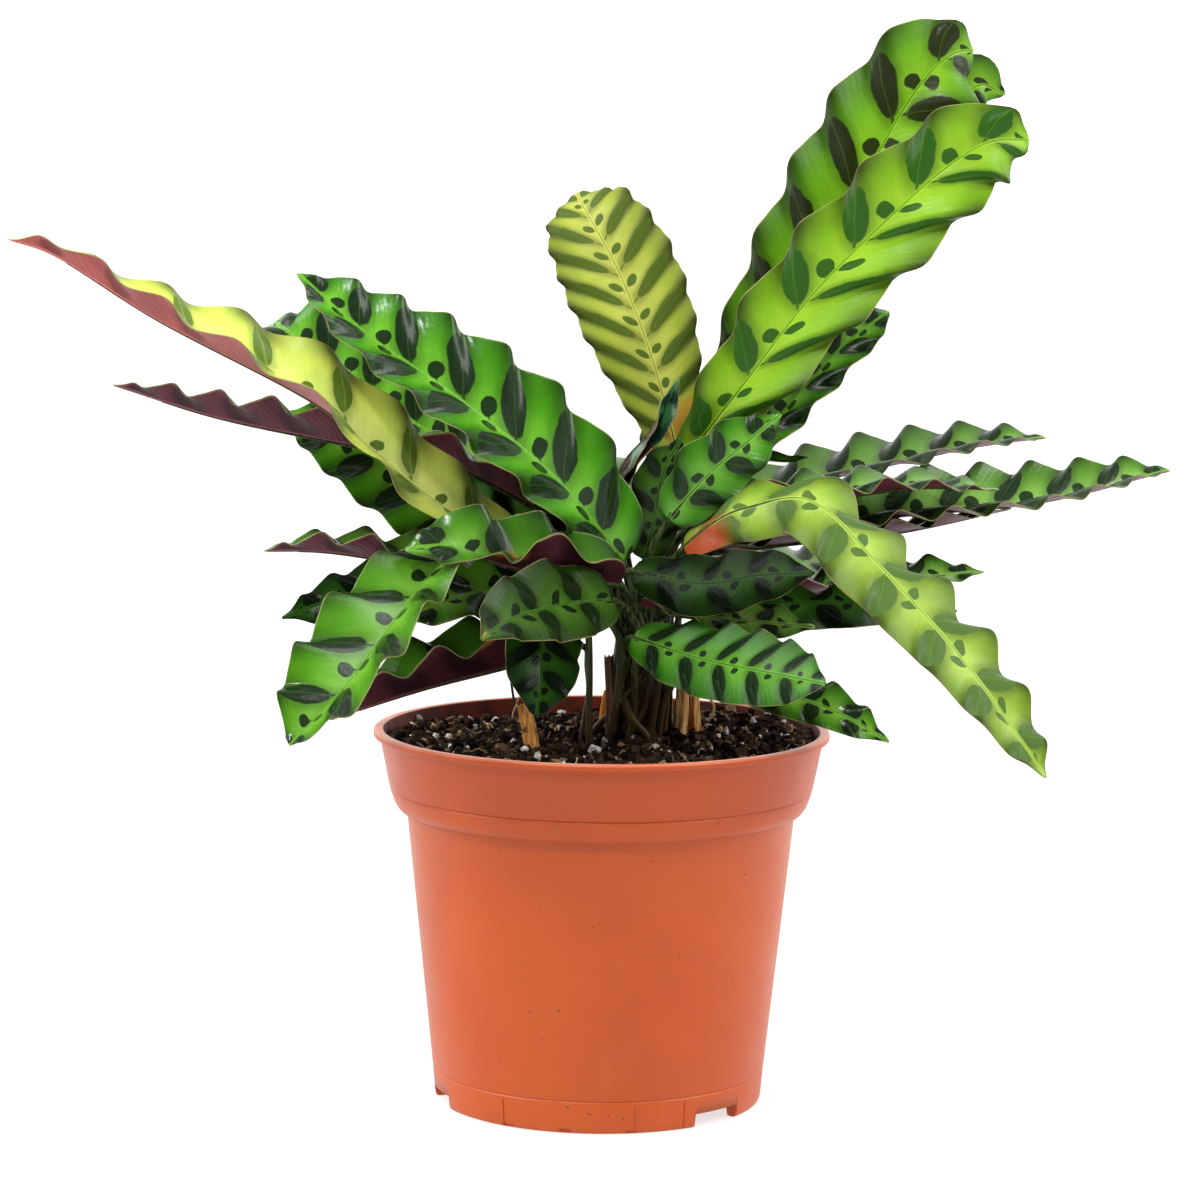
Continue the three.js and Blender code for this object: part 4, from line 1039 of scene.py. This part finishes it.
def pot_outline():
    """The pot's outline as radius and height, up its outside and down its inside."""
    p = POT
    edge, wall, groove = p["edge"], p["wall"], p["groove"]
    lip_z = p["height"] - p["lip_thickness"]

    def wall_at(z):
        share = (z - p["foot_groove_z"]) / (p["body_top_z"] - p["foot_groove_z"])
        return p["body_foot_radius"] + (p["body_top_radius"] - p["body_foot_radius"]) * share

    outside = [
        (0.01, p["floor_z"]), (p["foot_inner_radius"] - 2 * edge, p["floor_z"]),
        (p["foot_inner_radius"], 0), (p["foot_radius"], 0), (p["foot_radius"] + edge, 1),
        (p["body_foot_radius"] - 0.05, p["foot_groove_z"] - groove),
        (p["body_foot_radius"] - groove, p["foot_groove_z"]),
        (wall_at(p["foot_groove_z"] + groove), p["foot_groove_z"] + groove),
        (wall_at(30), 30), (wall_at(55), 55),
        (p["body_top_radius"], p["body_top_z"]),
        (p["collar_foot_radius"] - 1.2, p["body_top_z"] + 0.1),
        (p["collar_foot_radius"], p["collar_foot_z"]),
        (p["collar_groove_radius"], p["collar_groove_z"] - groove),
        (p["collar_groove_radius"] - 0.45, p["collar_groove_z"]),
        (p["collar_groove_radius"] + 0.2, p["collar_groove_z"] + groove),
        (p["collar_top_radius"], lip_z - edge), (p["lip_radius"], lip_z),
        (p["lip_radius"], p["height"] - edge), (p["lip_radius"] - edge, p["height"]),
    ]
    inside = [
        (p["lip_inner_radius"], p["height"]),
        (p["collar_groove_radius"] - wall, p["collar_groove_z"]),
        (p["collar_foot_radius"] - wall, p["collar_foot_z"] + edge),
        (p["body_top_radius"] - wall, p["body_top_z"]),
        (p["body_foot_radius"] - wall, p["foot_groove_z"]),
        (p["foot_inner_radius"] + wall, p["floor_z"] + wall), (0.01, p["floor_z"] + wall),
    ]
    # Rounding turns every corner but the first into three, so the lip's inner corner is at this row.
    lip_row = 3 * len(outside) - 1
    return np.array(rounded(outside + inside, p["rounding"])), lip_row


def box_cutter(length, width, height, out, angle):
    """A box over the floor line, at that distance out from the axis and angle around it."""
    shape = bmesh.new()
    bmesh.ops.create_cube(shape, size=1)
    turn = Matrix.Rotation(math.radians(angle), 4, "Z")
    size = Matrix.Diagonal((length * MM, width * MM, 2 * height * MM, 1))
    return shaped("cutter", shape, turn @ Matrix.Translation((out * MM, 0, 0)) @ size)


def round_cutter(radius, x, y, height, sides):
    """An upright cylinder through the floor line at x and y."""
    shape = bmesh.new()
    bmesh.ops.create_cone(shape, cap_ends=True, segments=sides, radius1=radius * MM,
                          radius2=radius * MM, depth=2 * height * MM)
    return shaped("cutter", shape, Matrix.Translation((x * MM, y * MM, 0)))


def cut_away(piece, cutters):
    """Takes the cutters' shapes out of a piece, and removes them."""
    for cutter in cutters:
        change = piece.modifiers.new("cut", "BOOLEAN")
        change.object = cutter
        change.operation = "DIFFERENCE"
        change.solver = "EXACT"
    bpy.context.view_layer.update()
    shown = piece.evaluated_get(bpy.context.evaluated_depsgraph_get())
    mesh = bpy.data.meshes.new_from_object(shown)
    piece.modifiers.clear()
    piece.data = mesh
    for cutter in cutters:
        bpy.data.objects.remove(cutter)


def foot_cutters():
    """The shapes that the notches, the chips and the drain holes take out of the pot's foot."""
    cutters = []
    foot = POT["foot_radius"]
    notch_width = 2 * foot * math.sin(math.radians(NOTCH["width_degrees"] / 2))
    for angle in NOTCH["angles"]:
        cutters.append(box_cutter(NOTCH["depth"], notch_width, NOTCH["height"], foot, angle))
    for angle, width, height in CHIPS:
        middle = foot + CHIP_BOX["outside"]
        cutters.append(box_cutter(CHIP_BOX["depth"], width, height, middle, angle))
    for number in range(DRAIN_HOLE["count"]):
        angle = 2 * math.pi * (number + 0.5) / DRAIN_HOLE["count"]
        x, y = DRAIN_HOLE["circle"] * math.cos(angle), DRAIN_HOLE["circle"] * math.sin(angle)
        cutters.append(round_cutter(DRAIN_HOLE["radius"], x, y, 3 * POT["wall"] + POT["floor_z"],
                                    DRAIN_HOLE["sides"]))
    return cutters


def make_mould_lines(paint):
    lines = Solid()
    z = np.linspace(MOULD_LINE["low_z"], MOULD_LINE["high_z"], MOULD_LINE["points"])
    rise = MOULD_LINE["high_radius"] - MOULD_LINE["low_radius"]
    out = MOULD_LINE["low_radius"] + rise * z / MOULD_LINE["high_z"]
    for angle in np.radians(MOULD_LINE["angles"]):
        line = np.stack([out * math.cos(angle), out * math.sin(angle), z], axis=1)
        add_tube(lines, line, MOULD_LINE["radius"], sides=6)
    ready(lines.build("plant_pot_mould_lines", [paint]), None)


def make_pot():
    outline, lip_row = pot_outline()
    sides = POT["sides"]
    turn = np.linspace(0, 2 * math.pi, sides, endpoint=False)
    radius, height = outline[:, 0, None], outline[:, 1, None]
    points = np.stack([radius * np.cos(turn), radius * np.sin(turn),
                       np.repeat(height, sides, axis=1)], axis=-1)
    faces, foot_cap, floor_cap = tube_faces(len(outline), sides)
    inside = lip_row * sides
    solid = Solid()
    solid.add(points, [faces[:inside], faces[inside:], foot_cap, floor_cap], kind=[0, 1, 0, 1])
    paint = pot_material()
    piece = solid.build("plant_pot", [paint, pot_inside_material()])
    cut_away(piece, foot_cutters())
    ready(piece, "pot")
    make_mould_lines(paint)


# ---- The soil ----

def soil_level(x, y):
    """The soil's height without its crumbs, as a smooth heap."""
    angle = np.arctan2(y, x) - math.radians(SOIL["edge_rise_angle"])
    edge = SOIL["edge_level"] + SOIL["edge_rise"] * np.maximum(0, np.cos(angle))**2
    share = np.clip(np.hypot(x, y) / POT["lip_inner_radius"], 0, 1)**2
    away = (x - SOIL["heap_centre"][0])**2 + (y - SOIL["heap_centre"][1])**2
    heap = SOIL["heap_height"] * np.exp(-away / (2 * SOIL["heap_spread"]**2))
    return (SOIL["edge_level"] + heap) * (1 - share) + edge * share


def rough(x, y):
    """How far crumbs lift or lower the soil, which also heaps up against the wall at the left."""
    coarse = noise.noise(Vector((x * ROUGH["coarse"], y * ROUGH["coarse"], 3.7)))
    fine = noise.noise(Vector((x * ROUGH["fine"], y * ROUGH["fine"], 1.3)))
    lumps = ROUGH["coarse_height"] * coarse + ROUGH["fine_height"] * fine - ROUGH["sink"]
    out = math.hypot(x, y)
    outwards = max(0, (out - ROUGH["wall_heap_from"]) / ROUGH["wall_heap_width"])
    return lumps + ROUGH["wall_heap"] * (outwards * max(0, -x / out - 0.5))


def pot_wall(z):
    """The radius of the pot's inside at that height."""
    share = (z - POT["collar_groove_z"]) / (POT["height"] - POT["collar_groove_z"])
    low = POT["collar_groove_radius"] - POT["wall"]
    return low + (POT["lip_inner_radius"] - low) * np.clip(share, 0, 1)


def make_soil():
    count = SOIL["sides"]
    turn = np.linspace(0, 2 * math.pi, count, endpoint=False)

    def ring(radius, z):
        return np.stack([radius * np.cos(turn), radius * np.sin(turn), z], axis=1)

    rows = []
    for radius in np.r_[np.arange(0.6, 54, SOIL["ring_step"]), 54.4, 55.2]:
        x, y = radius * np.cos(turn), radius * np.sin(turn)
        rows.append(ring(radius, soil_level(x, y) + np.array([rough(a, b) for a, b in zip(x, y)])))
    # The last ring lies against the wall, and two more close the side down to the CAD's soil.
    edge_z = rows[-1][:, 2]
    rows[-1] = ring(pot_wall(edge_z) - SOIL["gap"], edge_z)
    for z, inset in ((POT["collar_groove_z"], 0), (POT["body_top_z"] + 0.8, 2.6)):
        radius = POT["collar_groove_radius"] - POT["wall"] - SOIL["gap"] - inset
        rows.append(ring(radius, np.full(count, z)))
    # The rings run from the middle outwards and down, so their faces are turned round to face out.
    faces = [np.asarray(group)[:, ::-1] for group in tube_faces(len(rows), count)]
    solid = Solid()
    solid.add(np.array(rows), faces)
    ready(solid.build("plant_soil", [soil_material()]), "soil")


def pebble(chance, size, flatness):
    """A small lumpy grain's points about the origin, and its faces."""
    shape = bmesh.new()
    bmesh.ops.create_icosphere(shape, subdivisions=1, radius=1)
    points = np.array([vertex.co for vertex in shape.verts])
    faces = np.array([[vertex.index for vertex in face.verts] for face in shape.faces])
    shape.free()
    # Its points move in or out, it is made narrower one way, and it is turned at random.
    points = points * (1 + 0.32 * chance.standard_normal((len(points), 1)).clip(-1, 1.2))
    spin = np.linalg.qr(chance.standard_normal((3, 3)))[0]
    if np.linalg.det(spin) < 0:
        spin[0] = -spin[0]
    points = points * (1, 0.6 + 0.4 * chance.random(), flatness)
    return points @ spin * size, faces


def scatter(chance, reach):
    """A random spot on the soil."""
    out = reach * math.sqrt(chance.random())
    angle = 2 * math.pi * chance.random()
    return out * math.cos(angle), out * math.sin(angle)


def random_size(chance, bit):
    """A size for a loose bit: most are small."""
    return bit["least"] + bit["more"] * chance.random()**2


def surface(x, y):
    """The soil's height with its lumps."""
    return soil_level(x, y) + rough(x, y)


def on_soil(column, row):
    """The spot of the soil that shows at that picture point, found by halving the depths."""
    low, high = -POT["lip_radius"], POT["lip_radius"]
    for _ in range(40):
        depth = (low + high) / 2
        x, y, z = seen_at(column, row, depth)
        if z > soil_level(x, y):
            low = depth
        else:
            high = depth
    return x, y


def make_crumbs(chance):
    crumbs = Solid()
    for _ in range(CRUMB["count"]):
        x, y = scatter(chance, CRUMB["reach"])
        size = random_size(chance, CRUMB)
        points, faces = pebble(chance, size, CRUMB["flatness"])
        spot = (x, y, surface(x, y) + CRUMB["rise"] * size)
        crumbs.add(points + spot, [faces], smooth=False, value=chance.random())
    ready(crumbs.build("plant_soil_crumbs", [crumb_material()]), None)


def make_grains(chance):
    grains = Solid()
    spots = [(*on_soil(column, row), size) for column, row, size in NAMED_GRAINS]
    for _ in range(GRAIN["count"]):
        spots.append((*scatter(chance, GRAIN["reach"]), random_size(chance, GRAIN)))
    for x, y, size in spots:
        points, faces = pebble(chance, size, GRAIN["flatness"])
        grains.add(points + (x, y, surface(x, y) + GRAIN["rise"] * size), [faces])
    ready(grains.build("plant_soil_perlite", [perlite_material()]), None)


def make_fibres(chance):
    fibres = Solid()
    for _ in range(FIBRE["count"]):
        x, y = scatter(chance, FIBRE["reach"])
        heading = 2 * math.pi * chance.random()
        length = random_size(chance, FIBRE)
        bend = (chance.random() - 0.5) * FIBRE["bend"]
        line = []
        for share in np.linspace(0, 1, FIBRE["points"]):
            angle = heading + bend * share
            end_x = x + length * share * math.cos(angle)
            end_y = y + length * share * math.sin(angle)
            over = FIBRE["above"] + FIBRE["arch"] * math.sin(math.pi * share) * chance.random()
            if math.hypot(end_x, end_y) > FIBRE["limit"]:
                break
            line.append((end_x, end_y, surface(end_x, end_y) + over))
        if len(line) > 3:
            radius = FIBRE["least_radius"] + FIBRE["more_radius"] * chance.random()
            add_tube(fibres, line, radius, sides=5, value=chance.random())
    for strand in STRANDS:
        x, y = on_soil(*strand["foot"])
        line = [(x, y, surface(x, y) - 0.5)]
        line += [seen_at(column, row, y + back) for column, row, back in strand["way"]]
        add_tube(fibres, smooth_line(line, 24)[0], strand["radius"], value=strand["tint"],
                 flat=strand.get("flat", 1))
    ready(fibres.build("plant_soil_fibres", [fibre_material()]), None)


# ---- What is left of old stalks, and the new shoot ----

def make_remains(stump, chance):
    """A torn tube: its rings wander, its side is fluted and its top ends in uneven teeth."""
    x, y = stump["foot"]
    foot = np.array([x, y, soil_level(x, y) - 2.0])
    top = np.array(stump["top"], float)
    sides, rows = REMAINS_GRID
    turn = np.linspace(0, 2 * math.pi, sides, endpoint=False)
    flute = 1 + 0.12 * np.cos(5 * turn + chance.random() * 6) + 0.07 * np.cos(11 * turn)
    teeth = np.tile(chance.random(sides // 2), 2)
    up = unit(top - foot)
    side = unit(np.cross(up, [0, 1, 0]))
    other = np.cross(up, side)
    points = []
    for share in np.linspace(0, 1, rows):
        radius = stump["foot_radius"] + (stump["top_radius"] - stump["foot_radius"]) * share
        centre = foot + (top - foot) * share
        sway = side * 0.25 * math.sin(5 * share + x) + other * 0.2 * math.sin(4 * share + y)
        centre = centre + sway
        rise = np.maximum(0, (share - 0.7) / 0.3)**2 * stump["ragged"] * (teeth - 0.75)
        around = np.cos(turn)[:, None] * side + np.sin(turn)[:, None] * other
        points.append(centre + radius * flute[:, None] * around + up * rise[:, None])
    # The top is thick-walled, and hollow where it is torn.
    inner = points[-1] + (points[-1].mean(axis=0) - points[-1]) * 0.3
    deep = inner + (inner.mean(axis=0) - inner) * 0.4 - up * (1.6 if stump["ragged"] else 0.1)
    points += [inner, deep]
    solid = Solid()
    solid.add(np.array(points), tube_faces(len(points), sides))
    material = fibrous_material(stump["name"] + "_skin", stump["light"], stump["dark"])
    piece = solid.build("plant_" + stump["name"], [material])
    ready(piece, stump["name"])


# ---- The studio ----

def make_floor():
    shape = bmesh.new()
    bmesh.ops.create_circle(shape, cap_ends=True, segments=64, radius=STUDIO["floor_radius"])
    floor = shaped("floor", shape)
    floor.location.z = -0.2 * MM
    # A floor that glows a little keeps the shadows on it faint.
    paint = Paint("floor_white", roughness=0.9, specular=0)
    paint.shader.inputs["Emission Color"].default_value = (1, 1, 1, 1)
    paint.shader.inputs["Emission Strength"].default_value = STUDIO["floor_glow"]
    rest = 1 - STUDIO["floor_glow"]
    floor.data.materials.append(paint.finish((rest, rest, rest, 1)))


def make_backdrop():
    """A world that looks white, and lights the plant most from behind, then the sides and above."""
    world = bpy.data.worlds.new("studio")
    world.use_nodes = True
    tree = world.node_tree
    background = tree.nodes["Background"]
    background.inputs["Color"].default_value = (1, 1, 1, 1)
    parts = tree.nodes.new("ShaderNodeSeparateXYZ")
    put(tree, tree.nodes.new("ShaderNodeTexCoord").outputs["Generated"], parts.inputs[0])
    across, away, up = parts.outputs
    sideways = calculate(tree, "MULTIPLY", across, across)
    light = calculate(tree, "MULTIPLY_ADD", sideways, STUDIO["sides"], STUDIO["fill"])
    for direction, strength in ((away, STUDIO["back"]), (up, STUDIO["top"])):
        facing = calculate(tree, "MAXIMUM", direction, 0)
        light = calculate(tree, "MULTIPLY_ADD", facing, strength, light)
    rays = tree.nodes.new("ShaderNodeLightPath")
    light = calculate(tree, "MAXIMUM", light, rays.outputs["Is Camera Ray"])
    put(tree, light, background.inputs["Strength"])
    bpy.context.scene.world = world


def make_lamps():
    for lamp in LAMPS:
        light = bpy.data.lights.new(lamp["name"], "SUN")
        light.energy = lamp["power"]
        light.angle = math.radians(lamp["spread"])
        hung = bpy.data.objects.new(lamp["name"], light)
        hung.rotation_euler = (-Vector(lamp["place"])).to_track_quat("-Z", "Y").to_euler()
        bpy.context.scene.collection.objects.link(hung)


make_camera()
make_floor()
make_backdrop()
make_lamps()
bpy.context.scene.view_settings.view_transform = "Standard"
make_pot()
make_soil()
chance = np.random.default_rng(SEED)
make_crumbs(chance)
make_grains(chance)
make_fibres(chance)
for leaf in LEAVES:
    make_leaf(leaf)
torn = np.random.default_rng(SEED + 1)
for stump in REMAINS:
    make_remains(stump, torn)
